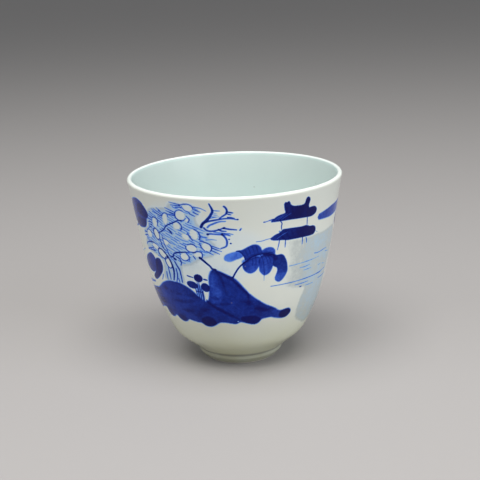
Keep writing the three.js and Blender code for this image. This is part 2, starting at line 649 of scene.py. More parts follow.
@dataclass(frozen=True)
class Lake:
    """The far bank, the wash of water below it, and its ripples."""

    def marks(self) -> Iterable[Mark]:
        """The lake's marks, in the order of painting.

        Returns:
            The marks.
        """
        yield stroke(way(26.6, 53.3, 32, 53.4, 38, 53.6, 46, 54, 52, 53.8, 57, 53.3),
            (1.6, 2.7, 2.7, 2.5, 1.2), (0.76, 0.72, 0.68, 0.6), 0.25)
        yield patch(way(39.2, 49.4, 41, 51.2, 45, 51.8, 50, 51.4, 54, 50.2, 56, 48.8, 52, 47.6, 46, 46.8,
            41, 46.6, 39.4, 47.6), 0.85, 0.3)
        yield patch(way(12.5, 48, 20, 47.8, 30, 47.6, 38, 47.4, 40, 44, 39.6, 38, 38, 33, 37.6, 26, 38, 18.5,
            36, 15, 31, 14.4, 28, 15.6, 24.5, 17.2, 22.8, 18.6, 22, 20.5, 21.8, 23, 22.5, 26, 23.3, 29.4,
            20, 30.2, 15, 31.6, 10, 32.9, 12, 34.5, 15.5, 40, 14.5, 45), (0.03, 0.13, 0.18, 0.19), 0.9,
            ((13, 40), (28, 40)))
        ripples = (
            (way(26.2, 40.9, 28, 40.6, 32, 40.7, 34, 40.6), 0.45), (way(16, 39, 20, 39, 29, 39), 0.35),
            (way(20.2, 37.4, 22, 37.3, 24.5, 37.5), 0.35), (way(22, 36.1, 25.5, 36.1), 0.3),
            (way(29.5, 35.8, 31.5, 36), 0.28), (way(32.5, 35.5, 34.5, 35), 0.3),
            (way(33.5, 39.5, 36.5, 38.8), 0.3), (way(10.1, 33, 14, 33, 22, 32.9, 30, 32.8, 36, 33), 0.5),
            (way(19, 31.6, 22, 31.5, 25, 31.5), 0.45), (way(24, 30.2, 28, 30), 0.35),
            (way(29.5, 32.7, 33, 32.5), 0.35), (way(31.3, 30.7, 33.5, 30.6, 38, 30.7), 0.45),
        )
        for points, shade in ripples:
            yield stroke(points, 0.26, (shade, shade * 0.8), 0.12)
        yield stroke(way(21.2, 30.4, 22, 30.4), 0.3, 0.9, 0.1)


@dataclass(frozen=True)
class BroadLeaf:
    """The scalloped leaf in the middle, with its midrib and veins."""

    def marks(self) -> Iterable[Mark]:
        """The leaf's marks, in the order of painting.

        Returns:
            The marks.
        """
        lobes = (
            (way(-0.6, 46.1, -1.5, 45.9, -2.6, 45.5, -3.5, 44.9, -3.9, 44, -3.7, 43.1, -3, 42.7, -2.2, 42.6,
                -1.3, 42.9, -0.3, 43.4, 0.9, 43.8, 1.6, 44.4, 1.2, 45.4, 0.5, 46.1), 0.5),
            (way(0.2, 46.3, 1.2, 46.6, 2.4, 47.2, 3.6, 47.9, 4.8, 48.2, 5.9, 47.9, 6.6, 47.1, 6.9, 46.2,
                7, 45, 6.2, 44.6, 4.5, 44.2, 3, 43.2, 2.2, 42.9, 1.9, 44, 1.3, 45.2), 0.78),
            (way(6.9, 45.9, 7.6, 46.4, 8.8, 46.8, 10, 46.6, 10.8, 45.8, 11, 44.7, 10.6, 43.6, 9, 43.8,
                7.2, 44.4), 0.68),
            (way(1.4, 42.2, 1.3, 41.3, 1.5, 40.2, 2.1, 39.2, 3, 38.5, 3.8, 38.3, 4.8, 38.7, 5.6, 39.5,
                6.1, 40.6, 6.4, 42, 6.4, 43.8, 5, 44, 3, 43), (0.76, 0.64)),
            (way(6.2, 41.2, 6.2, 39.8, 6.4, 38.7, 7.1, 37.7, 8, 37.2, 9, 37.5, 9.8, 38.4, 10.3, 39.6,
                10.6, 41, 10.6, 43, 9, 44.3, 7, 44.2, 6.2, 43), (0.76, 0.66)),
            (way(10.4, 44.2, 11.5, 43.7, 12.8, 43.8, 13.7, 43.3, 14.4, 42.2, 15, 40.7, 15.3, 39, 15.4, 37.6,
                15, 36.4, 14.3, 35.2, 13.6, 34.5, 12.8, 34.1, 11.9, 34.5, 11.3, 35.2, 11.2, 36, 11.6, 37.2,
                11.9, 38.4, 11.6, 39.4, 10.9, 39.8, 10.4, 40.4, 10.5, 42), (0.9, 0.86, 0.72)),
        )
        for points, shade in lobes:
            yield patch(points, shade, 0.2, ((12.5, 43.5), (13, 36)))
        yield stroke(way(1.8, 42.6, 3.2, 43.3, 4.6, 44.1, 6.2, 44.4, 8, 44.5, 9.6, 44.2, 10.8, 43.4,
            11.4, 42.4), 1.2, (0.45, 0.5, 0.5), 0.3)
        yield stroke(way(-1.6, 37.2, -0.8, 38.8, 0.3, 40.6, 1.5, 41.9, 2.8, 42.9, 4, 43.9, 5.6, 44.5,
            7.4, 44.7, 9, 44.5, 10.6, 43.8), (0.38, 0.34, 0.3, 0.26), (0.93, 0.9, 0.85), 0.1)
        yield stroke(way(0, 46.2, 0.9, 45.9, 1.5, 45, 2, 43.9, 2.2, 43), 0.24, 0.6, 0.1)
        yield stroke(way(-0.3, 46.2, 0.6, 46.4), 0.3, 0.75, 0.1)
        veins = (way(2.1, 46.6, 2.6, 45.4, 3, 44.2), way(3, 47.2, 3.5, 45.9, 3.8, 44.6),
            way(4.1, 47.6, 4.6, 46.2, 4.9, 44.8), way(5.2, 47.6, 5.7, 46.2, 5.9, 45),
            way(4.1, 43.8, 4.3, 42.4, 4.2, 41), way(5, 44.2, 5.3, 42.6, 5.3, 41),
            way(6.6, 44.4, 7.3, 42.6, 7.6, 40.6, 7.8, 38.2), way(7.6, 44.5, 8.4, 43, 8.8, 41.2),
            way(8.4, 44.4, 9.3, 43, 9.8, 41.2), way(8.4, 44.6, 9.4, 44.9, 10.4, 45))
        for vein in veins:
            yield stroke(vein, 0.24, (0.46, 0.3), 0.12)
        yield stroke(way(7.8, 38.2, 7.8, 35.4), 0.2, (0.5, 0.3), 0.12)


@dataclass(frozen=True)
class RockyBank:
    """The dark bank and rock along the bottom, with its round toes at the water's edge."""

    seed: int = 11
    blots: int = 34

    def marks(self) -> Iterable[Mark]:
        """The bank's marks, in the order of painting.

        Returns:
            The marks.
        """
        outline = way(-10.6, 28.2, -9.7, 30.2, -9.2, 34, -9.1, 36.5, -8.8, 38, -8.3, 39.2, -7.6, 39.9,
            -6.6, 40, -5.6, 39.4, -4, 38.6, -2.6, 37.8, -1.5, 37.2, -1.1, 36.2, -0.4, 35.3, 0.6, 34.3,
            2, 32.6, 3.5, 31.1, 5, 29.7, 6.8, 28.2, 8.5, 26.9, 10.5, 25.8, 12.3, 24.8, 14, 23.6, 15.5, 23.5,
            17.5, 23.7, 18.6, 23.2, 19.2, 22, 18.6, 20.9, 17.4, 20.2, 16, 20.1, 14.2, 20.4, 12.6, 20.9,
            11.2, 21.4, 9.5, 21.4, 7.8, 21.1, 7.2, 20.4, 6.2, 19.6, 5, 19.4, 3.4, 19.7, 1.8, 20.2, 0.4, 20.6,
            -0.6, 20.2, -1.4, 19.9, -3, 20.1, -5, 20.4, -7.2, 20.3, -8.4, 19.5, -9.6, 18.8, -11.2, 18.4,
            -13, 18.7, -14.4, 19.6, -16, 19.6, -18, 19.9, -19.6, 20.1, -20.8, 19.2, -22.4, 18.7, -24, 19,
            -25.2, 19.9, -26, 20.4, -27.6, 19.5, -29.2, 19.1, -30.6, 19.6, -31.2, 20.8, -31.6, 22,
            -33.5, 21.8, -36, 21, -40, 20, -46, 18.4, -52, 18.5, -56, 19.4, -60, 20.8, -62.5, 22.4,
            -60, 23.6, -54, 24.6, -46, 26, -40, 27.6, -36, 28.6, -33.5, 29.1, -31.8, 29.6, -30, 30.8,
            -28.2, 32.1, -26.4, 33, -24.4, 33.7, -22, 33.9, -19.6, 33.8, -17.6, 33.2, -16, 32.4, -14.6, 31.3,
            -13.4, 30, -12, 28.9)
        yield patch(outline, (0.8, 0.81, 0.85, 0.85, 0.8), 0.3, ((-40, 24), (18, 24)))
        yield patch(way(-11, 22.6, -13.4, 21.8, -14, 20.2, -13, 18.7, -11.2, 18.4, -9.6, 18.8, -8.4, 19.8,
            -8.8, 21.4, -9.8, 22.2), 0.94, 0.3)
        yield patch(way(0.6, 22.6, 3, 22.9, 5.6, 22.6, 7.2, 21.6, 7.2, 20.4, 6.2, 19.6, 5, 19.4, 3.2, 19.8,
            1.6, 20.6, 0.4, 21.4), 0.92, 0.3)
        yield patch(oval((16.6, 21.9), 2.45, 1.7), 0.95, 0.3)
        yield patch(oval((-23, 20.1), 2.2, 1.3), 0.6, 0.4)
        yield patch(oval((-29.4, 20.6), 1.7, 1.3), 0.6, 0.4)
        yield patch(oval((-0.6, 20.9), 0.3, 0.18), 0.7, 0.1, ink=Ink.LIFT)
        yield stroke(way(-5.6, 39.2, -3.6, 37.9, -1.2, 36.2, 1, 33.4, 2.8, 31, 3, 28.6),
            (0.5, 0.9, 0.8, 0.4), (0.7, 0.8, 0.6), 0.3)
        yield stroke(way(-6.6, 39.7, -5.2, 37.2, -4.4, 34, -4, 31), (0.4, 0.5, 0.3), (0.6, 0.5, 0.3), 0.2)
        yield stroke(way(-10.6, 28.4, -8, 26.4, -5, 24.6, -2, 22.8, 0, 21.6), (0.5, 0.8, 0.8, 0.4),
            (0.85, 0.8, 0.6), 0.3)
        yield patch(way(-8.6, 37.6, -7.4, 38.6, -6.2, 37, -5.6, 33, -5.9, 29, -7.2, 26.6, -8.8, 27.4,
            -8.9, 32), 0.14, 0.9, ink=Ink.LIFT)
        draw = random.Random(self.seed)
        for _ in range(self.blots):
            x = draw.uniform(-44, 8)
            y = draw.uniform(21.6, 31.0) if x < -11 else draw.uniform(21.8, min(30.0, 31.8 - 0.85 * x))
            y = min(y, 32 - abs(x + 22) * 0.3) if x < -11 else y
            long = draw.uniform(1.0, 3.0)
            tilt = draw.uniform(-0.5, 0.1) if x > -11 else draw.uniform(-0.25, 0.3)
            yield stroke(way(x - long, y - tilt * long, x, y, x + long, y + tilt * long),
                (0.3, draw.uniform(0.6, 1.3), 0.3), draw.uniform(0.3, 0.55), 0.35)


@dataclass(frozen=True)
class Shrubs:
    """Dark clumps of leaves at the left edge, and the thin branch among them."""

    def marks(self) -> Iterable[Mark]:
        """The shrubs' marks, in the order of painting.

        Returns:
            The marks.
        """
        yield patch(way(-29.8, 41.2, -31.4, 41.9, -33, 41.3, -35, 40.2, -36.5, 39, -37.5, 37.6, -37.5, 36.2,
            -36.5, 35.2, -35, 34.7, -33, 34.6, -31, 35.5, -29.5, 37, -29, 39, -29.2, 40.4), 0.8, 0.2)
        yield patch(way(-26.6, 40.9, -25.9, 39.6, -25.9, 38, -26.6, 36.4, -28, 34.9, -29.8, 33.4,
            -31.6, 32.4, -33, 32.2, -33.5, 33, -32.4, 34.2, -30.8, 35.6, -29.8, 37.4, -29.6, 39.4, -29, 40.3,
            -28, 40.9), 0.94, 0.2)
        yield stroke(way(-34, 31, -38, 30.2, -42, 29, -46, 28), (0.5, 0.9, 0.5), 0.6, 0.2)
        yield stroke(way(-35.5, 42.2, -38, 41.2, -40, 40.2, -43, 39.2, -46, 38.5), 0.25, 0.4)
        yield patch(way(-30.9, 59.4, -33.5, 60, -36, 59.7, -38.4, 58.8, -40, 57.4, -40.4, 55, -39.8, 52.6,
            -38, 50.6, -35.6, 49.9, -33, 50.2, -31, 50.9, -29.9, 52.4, -29.4, 54, -28.4, 55.4, -28.5, 56.8,
            -29.8, 58.4), 0.8, 0.25)
        yield patch(way(-30.6, 58.4, -29.2, 57.4, -28.2, 56.2, -28.3, 55, -29.2, 54.2, -30.8, 54.2,
            -33, 54.6, -35.4, 55.6, -34.6, 57.4, -32.6, 58.6), 0.72, 0.2)
        yield patch(way(-29.9, 53.4, -30, 52, -31.2, 50.8, -32.8, 50.4, -34.6, 50.9, -36.6, 51.8, -36, 53,
            -33, 53.6), 0.6, 0.25)
        yield stroke(way(-36.6, 51.6, -38, 50, -40, 49.2, -42, 48.6), (0.8, 0.5, 0.3), (0.7, 0.5), 0.15)


@dataclass(frozen=True)
class Flowers:
    """Three dark flowers on a bundle of upright stems, on the bank."""

    def marks(self) -> Iterable[Mark]:
        """The flowers' marks, in the order of painting.

        Returns:
            The marks.
        """
        yield patch(way(-13.6, 32.6, -12.6, 34.6, -11.8, 33.4, -11.2, 31, -11.2, 28.6, -12.4, 29, -13.4, 30),
            0.42, 0.4)
        for stem in (way(-13.9, 33, -13.6, 30.4), way(-13, 35, -12.9, 29.4), way(-12.4, 34.9, -12.2, 29),
                way(-11.8, 34, -11.6, 28.6), way(-11.4, 32, -11.3, 28.2), way(-13.6, 31.8, -11.8, 31.5),
                way(-10.6, 29, -10.2, 28.4)):
            yield stroke(stem, 0.26, 0.75, 0.1)
        yield patch(oval((-12.4, 36.5), 1.5, 1.45), 0.97, 0.14)
        yield patch(oval((-14.8, 33.9), 2.0, 1.3, -12), 0.88, 0.14)
        yield patch(oval((-10.4, 33.4), 1.4, 1.65, 20), 0.93, 0.14)
        yield stroke(way(-16.1, 37, -15.4, 36.8, -14.2, 36.6), 0.35, 0.8, 0.1)
        yield stroke(way(-10.6, 36.3, -9.6, 36.1), 0.45, 0.8, 0.1)


@dataclass(frozen=True)
class OldTree:
    """The tree at the left: its trunk lines, its open crown of hatched tufts round reserved ovals, and the
    bare branches that reach right."""

    seed: int = 5
    middle: Point = (-18.5, 50.5)
    lean: float = -0.4
    spacing: float = 0.86
    rows: int = 16
    reach: float = 18.0
    lowest: float = 40.8
    halo: tuple[tuple[Point, float, float], ...] = (((-18, 50), 13, 11), ((-12, 36), 12, 6), ((0, 45), 9, 8))

    def crown_edge(self) -> tuple[Point, ...]:
        """The outline of the crown's pale wash, with the trunk under it."""
        return way(-26, 58.4, -22, 59, -19.5, 59.6, -18.5, 61.4, -15, 61.6, -12.5, 61.7, -10.5, 60.8,
            -9.5, 59.2, -11, 57.6, -11, 55.5, -9.8, 54, -7.5, 53, -8, 51, -7, 48.6, -5.5, 46.4, -8, 44.5,
            -10.5, 43.5, -13, 42, -16, 40.8, -17.6, 40.4, -18, 38, -18, 34, -22, 34, -26, 34, -26, 36,
            -25, 38.8, -25.5, 41, -28, 42.2, -32, 43, -33, 45, -32, 47.5, -33, 49, -31, 50.6, -29, 52,
            -29.6, 54, -29, 56)

    def ovals(self) -> Iterable[tuple[Point, float, float, float]]:
        """The reserved ovals of the crown: centre, half width, half height and turn."""
        yield from (
            ((-15.4, 57.6), 1.5, 1.55, 0), ((-20.9, 55.8), 0.85, 1.9, 0), ((-25.5, 53.6), 0.95, 1.6, 0),
            ((-25.6, 49.7), 1.0, 1.7, 15), ((-29.4, 49), 1.3, 1.3, 0), ((-27.4, 45), 1.6, 0.9, -15),
            ((-24.6, 43.1), 1.9, 1.1, -40), ((-22.6, 40.4), 0.95, 1.75, 20), ((-17.1, 53.9), 1.2, 1.2, 0),
            ((-12, 51.6), 1.15, 1.75, 15), ((-14.7, 50.5), 1.25, 0.9, -30), ((-13.2, 46.8), 1.6, 1.2, 0),
            ((-8.6, 47.6), 1.5, 1.4, 0), ((-16, 43.6), 1.3, 1.2, 0), ((-11.3, 44.8), 1.4, 0.8, 10),
            ((-13.1, 60.2), 1.5, 1.1, 0), ((-13.6, 56.2), 0.8, 0.6, 0), ((-22.2, 47.6), 1.1, 0.9, 0),
        )

    def marks(self) -> Iterable[Mark]:
        """The tree's marks, in the order of painting.

        Returns:
            The marks.
        """
        for centre, across, high in self.halo:
            yield patch(oval(centre, across, high), 0.045, 2.4)
        yield patch(self.crown_edge(), 0.205, 0.9)
        yield from self.hatched_crown()
        for centre, across, high, turn in self.ovals():
            yield patch(oval(centre, across, high, turn), 0.86, 0.2, ink=Ink.LIFT)
        yield from self.rings_of_ovals()
        yield from self.edge_tufts()
        yield from self.trunk()
        yield from self.branches()
        yield from self.bare_branches()

    def hatched_crown(self) -> Iterable[Mark]:
        """Parallel hatching that falls to the right over the whole crown.

        Returns:
            The marks.
        """
        draw = random.Random(self.seed)
        edge = Patch(shade=(1.0,), soft=0.1, points=self.crown_edge())
        fall = np.array([math.cos(self.lean), math.sin(self.lean)])
        side = np.array([-fall[1], fall[0]])
        for row in range(-self.rows, self.rows + 1):
            along = draw.uniform(-19, -16)
            while along < self.reach:
                long = draw.uniform(1.6, 4.2)
                off = row * self.spacing + draw.uniform(-0.14, 0.14)
                start = np.array(self.middle) + side * off + fall * along
                line = np.array([start, start + fall * long / 2 + side * draw.uniform(-0.16, 0.16),
                    start + fall * long + side * draw.uniform(-0.35, 0.35)])
                if edge.cover(line).min() > 0.5 and line[:, 1].min() > self.lowest:
                    shade = draw.uniform(0.32, 0.54)
                    yield stroke(way(*line.ravel()), (0.2, 0.25, 0.18), (shade, 0.3), 0.13)
                along += long + draw.uniform(0.2, 1.3)

    def rings_of_ovals(self) -> Iterable[Mark]:
        """The lines round the ovals."""
        for points, shade in (
            (way(-21.8, 56.6, -21.2, 57.5, -20, 57.7, -19.6, 56.6), 0.6),
            (way(-26.2, 55.2, -25.2, 55.5, -24, 54.8, -24.4, 53), 0.6),
            (way(-16.4, 55.3, -15.6, 54.4, -15.5, 53.2, -16, 52.6), 0.6),
            (way(-13.9, 51.9, -13.2, 50.5, -12.6, 49.6), 0.6),
            (way(-11.8, 53.3, -10.7, 52.6, -10.2, 51.4, -10.4, 50), 0.7),
            (way(-15.2, 47.5, -14.9, 46.2, -13.6, 45.4, -12, 45.5), 0.6),
            (way(-14.4, 48, -12.6, 48.2, -11.6, 47.2), 0.55),
            (way(-10.4, 49.5, -8.6, 49, -7.4, 48.2, -7.2, 47, -7.6, 46.2), 0.7),
            (way(-10.6, 48.8, -10, 47.2, -9.2, 46.2), 0.6), (way(-15.2, 45, -14.4, 43.8, -14.4, 42.6), 0.6),
            (way(-13, 45.2, -11.4, 45.9, -10.3, 45.6, -10.1, 44.4, -10.4, 43.6), 0.7),
            (way(-15.4, 61, -13, 61.6, -11.6, 61, -11.4, 60.2), 0.6),
            (way(-14.6, 60.6, -13.8, 59.4, -12.6, 58.9, -12.4, 58.3), 0.6),
            (way(-13.6, 57.6, -12.8, 56.4, -13.4, 55.4), 0.6),
            (way(-23.4, 48.8, -21.6, 48.4, -20.4, 47.6), 0.5),
            (way(-31, 45.9, -29, 46.2, -27, 46, -25.4, 45), 0.6),
            (oval((-15.4, 57.6), 1.75, 1.8, 0, 60, 330), 0.5),
            (oval((-25.6, 49.7), 1.2, 1.9, 15, 0, 350), 0.7), (oval((-29.4, 49), 1.5, 1.5, 0, 20, 170), 0.6),
            (oval((-24.6, 43.1), 2.1, 1.3, -40, 0, 350), 0.85),
            (oval((-22.6, 40.4), 1.15, 1.95, 20, 0, 350), 0.75),
            (oval((-16, 43.6), 1.5, 1.4, 0, 150, 330), 0.5),
        ):
            yield stroke(points, 0.3, shade, 0.12)

    def edge_tufts(self) -> Iterable[Mark]:
        """The tufts of parallel lines at the crown's edge."""
        for points in (
            way(-7, 48, -4.6, 47), way(-7, 47.3, -4.4, 46.2), way(-7.3, 46.5, -5, 45.3),
            way(-8.8, 46.2, -6.8, 45), way(-11.2, 60.8, -9.2, 60.4, -7.8, 59.6), way(-11.4, 60, -9.4, 59.2),
            way(-11.4, 59, -10, 58.3), way(-12.4, 58.4, -11, 57.7), way(-15, 61.2, -16.5, 61.4, -18.4, 61.7),
            way(-15, 60.8, -18, 60.8), way(-14.8, 60.4, -16.6, 60.2), way(-17, 58.4, -20.2, 59.6),
            way(-17, 57.8, -20, 58.6), way(-17, 57.2, -19.6, 57.6), way(-22, 57, -25, 58.4),
            way(-22, 56.4, -25.6, 57.4), way(-22.2, 58, -23.6, 59), way(-26.4, 55, -29, 55.9),
            way(-26.6, 54.2, -29.2, 54.4), way(-26.8, 53.4, -29, 53.2), way(-27.6, 51.8, -29.4, 51),
            way(-27, 52.6, -28.8, 52.4), way(-30.6, 49.2, -32.6, 49), way(-30.6, 48.4, -33, 47.6),
            way(-28, 46.4, -32, 45.4, -33, 44.4), way(-28.6, 44.4, -32.4, 43.2), way(-28, 43.4, -32.6, 43),
        ):
            yield stroke(points, 0.25, (0.66, 0.52), 0.12)

    def trunk(self) -> Iterable[Mark]:
        """The trunk's and the roots' lines."""
        for points, width, shade in (
            (way(-22.6, 42.8, -21.8, 41.4, -21.2, 39.6, -21, 37.8, -21.3, 36, -21.8, 34.4), 0.4, 0.8),
            (way(-19.9, 41.2, -19.2, 39.8, -18.6, 38.6, -18.4, 36.8, -18.4, 34.2), 0.32, 0.7),
            (way(-19.9, 38.8, -19.8, 37, -20.1, 35.4, -20.7, 34), 0.28, 0.6),
            (way(-23.2, 38.6, -23.1, 36.6, -23.1, 34.4), 0.28, 0.6),
            (way(-24.4, 36.8, -24.6, 35.2, -24.5, 34.1), 0.28, 0.6),
            (way(-26.6, 35.4, -27.2, 34.2, -27.8, 33.3), 0.26, 0.6),
            (way(-19.6, 35.4, -19.4, 34), 0.24, 0.5), (way(-24.8, 44.8, -23.4, 43.6, -22.4, 42.6), 0.3, 0.7),
            (way(-22, 43.9, -21.4, 43, -20.8, 42.7, -20, 43.3, -19.6, 44.2, -18, 44.8, -15.6, 45.2), 0.3,
                0.7), (way(-19.9, 42.3, -19.3, 42.1), 0.5, 0.8),
            (way(-19, 43.2, -17.9, 42.6, -17.4, 41.4, -17.7, 40.4), 0.28, 0.7),
        ):
            yield stroke(points, width * 1.25, (min(shade * 1.15, 0.95), shade), 0.15)

    def branches(self) -> Iterable[Mark]:
        """The branches inside the crown, and the dark one that reaches down to the rock.

        Returns:
            The marks.
        """
        for points, width, shade in (
            (way(-24.6, 50.4, -23.4, 50.9, -22, 52, -20.9, 53.3, -19.4, 54.2, -17.8, 55, -16.4, 55.8,
                -15.2, 56), 0.3, 0.75), (way(-20.6, 52.4, -19.8, 51.8, -19.2, 50.9), 0.42, 0.8),
            (way(-24.4, 48, -24.1, 46.4, -23.6, 45.2, -23, 44.6), 0.3, 0.75),
            (way(-23.3, 49.6, -23.1, 47.6, -22.6, 46, -22, 44.6), 0.28, 0.6),
            (way(-19.4, 44.2, -17.8, 44.7, -15.6, 45.2, -14, 45.3), 0.28, 0.65),
            (way(-13, 44.2, -12.4, 43.2), 0.28, 0.7),
        ):
            yield stroke(points, width, shade, 0.12)
        yield stroke(way(-11, 43.8, -10, 42.9, -9, 41.9, -8, 40.9, -7.6, 40.2, -6.6, 39.9),
            (0.55, 0.45, 0.4, 0.5), 0.96, 0.12)
        yield patch(oval((-10.8, 43.6), 0.5, 0.42), 0.9, 0.12)

    def bare_branches(self) -> Iterable[Mark]:
        """The bare branches to the right of the crown, with their twigs and knots.

        Returns:
            The marks.
        """
        yield stroke(way(-6.8, 62, -6.5, 61.2, -6.2, 60.4, -6.1, 59.6, -6.6, 58.4, -7.2, 57.4, -8.2, 56.2,
            -9, 55.4, -9.6, 54.2), (0.3, 0.5, 0.6, 0.6), (0.82, 0.84, 0.88), 0.13)
        for points, shade in (
            (way(-9.2, 55.2, -8, 56, -6.4, 56.5, -4.6, 56.9, -2.8, 57.2, -1, 57.1, 0, 56.8), 0.8),
            (way(-3, 61.2, -2.5, 60.6, -2.3, 59.6, -2.6, 58.7, -3.6, 57.9, -4.4, 57.2), 0.88),
            (way(-7.8, 54.2, -7.2, 54.9, -6, 55.5, -5, 56, -4.2, 56.2, -2.8, 56.3), 0.6),
            (way(-8.8, 54, -8.2, 53.3, -7.4, 53, -6, 53.1, -4.8, 53.5, -3.6, 54, -3.1, 54.3), 0.8),
            (way(-3.4, 54, -2, 53.7, 0, 53.4), 0.85), (way(-4.8, 53.6, -4, 53.1, -2.8, 53), 0.78),
            (way(-8, 52, -7, 52.1, -5.4, 52, -4, 51.9, -2.6, 51.8, -1.8, 51.5), 0.7),
            (way(-4, 51.9, -3.3, 51.2, -2.8, 50.2, -2.7, 49, -3, 48, -3.6, 47.6, -4.4, 47.3), 0.78),
            (way(-10, 51, -8.6, 50.8, -8.2, 50.7), 0.5),
        ):
            yield stroke(points, (0.4, 0.42, 0.28), (shade * 0.95, shade * 0.85), 0.14)
        for points, width, shade in (
            (way(-6, 59.8, -4.2, 59.7), 0.26, 0.5), (way(-6, 59.1, -5, 58.8), 0.24, 0.4),
            (way(-6.4, 57.8, -5.4, 57.8), 0.24, 0.35), (way(-2.3, 59.4, -1.2, 59.1, -0.8, 59), 0.3, 0.8),
            (way(-2.2, 58.7, -1.3, 58.4), 0.28, 0.75), (way(-2.2, 57.6, -1.2, 57.5, -0.4, 57.2), 0.28, 0.7),
            (way(0.9, 53.2, 1.3, 53.8), 0.28, 0.7), (way(-5.9, 58.4, -4.8, 58.3), 0.24, 0.45),
            (way(-7, 57.2, -5.6, 57.6, -4.4, 57.8), 0.22, 0.45),
            (way(-4, 52.4, -2.2, 52.2, -1, 51.9), 0.24, 0.55),
            (way(-6.2, 52.7, -4.4, 52.5, -3, 52.3), 0.24, 0.5),
            (way(-8.6, 50, -6.8, 50.2, -5.6, 50), 0.22, 0.4),
        ):
            yield stroke(points, width * 1.2, (min(shade * 1.2, 0.9), shade * 0.8), 0.13)
        for x, y, radius, shade in ((0.4, 56.8, 0.3, 0.85), (-3.4, 54.1, 0.34, 0.85),
                (-7.9, 51.9, 0.42, 0.8), (-3.9, 51.9, 0.38, 0.8), (-2.1, 50.3, 0.25, 0.75),
                (-1.7, 48.9, 0.28, 0.9)):
            yield patch(oval((x, y), radius, radius * 0.9), shade, 0.1)


@dataclass(frozen=True)
class FarShore:
    """The quiet back of the cup: distant hills, a reedy islet, ripples and a few birds."""

    reeds: int = 9

    def marks(self) -> Iterable[Mark]:
        """The far shore's marks, in the order of painting.

        Returns:
            The marks.
        """
        for left, mid, right, top, low in ((60, 68, 80, 49.5, 43.6), (72, 80, 91, 46.5, 42.4),
                (-91, -82, -72, 50.5, 43.8), (-80, -73, -62, 46.6, 42.6)):
            ridge = way(left, low, (left + mid) / 2, (low + top) / 2 + 0.6, mid, top,
                (mid + right) / 2, (low + top) / 2 + 0.9, right, low)
            yield patch(ridge + way((left + right) / 2, low - 0.7), (0.62, 0.34, 0.16), 0.4,
                ((mid, top), (mid, low)))
            yield stroke(ridge, (0.2, 0.5, 0.6, 0.4, 0.2), (0.4, 0.7, 0.45), 0.15)
        yield patch(way(-88, 26, -82, 27.6, -76, 27.4, -70, 25.8, -68, 24, -74, 23, -82, 22.6, -88, 23.6),
            (0.82, 0.9), 0.25, ((-78, 27), (-78, 22)))
        for i in range(self.reeds):
            x = -85 + i * 1.7
            lean = (i % 3 - 1) * 0.9
            yield stroke(way(x, 26, x + lean * 0.4, 29.4, x + lean * 1.5, 31.4 + (i * 5 % 4) * 0.7),
                (0.3, 0.24, 0.14), (0.85, 0.6), 0.1)
        for x, y, long in ((-64, 34.4, 9), (-79, 37.6, 12), (62, 38.6, 11), (76, 35.2, 12), (84, 31, 8),
                (58, 31.4, 7), (70, 26.6, 13), (50, 22.6, 8), (-60, 37.2, 6), (86, 22.4, 7),
                (-66, 19.6, 10)):
            yield stroke(way(x - long / 2, y, x, y + 0.15, x + long / 2, y - 0.1), 0.28, (0.3, 0.5, 0.3),
                0.14)
        for x, y in ((-56.5, 55.6), (-60.4, 57.4), (-64.2, 55.0), (74, 56.6), (78.2, 54.8)):
            yield stroke(way(x - 1.5, y + 0.7, x - 0.7, y + 0.9, x, y, x + 0.7, y + 0.9, x + 1.5, y + 0.6),
                0.28, 0.75, 0.09)


@dataclass(frozen=True)
class Painting:
    """The whole landscape in cobalt, from the far things to the near ones."""

    scenes: tuple = (Lake(), FarShore(), Pavilion(), OldTree(), Shrubs(), RockyBank(), BroadLeaf(),
                     Flowers())

    def marks(self) -> list[Mark]:
        """Every mark, in the order of painting."""
        return [mark for part in self.scenes for mark in part.marks()]


# Shader groups and finishes ---------------------------------------------------------------------------------


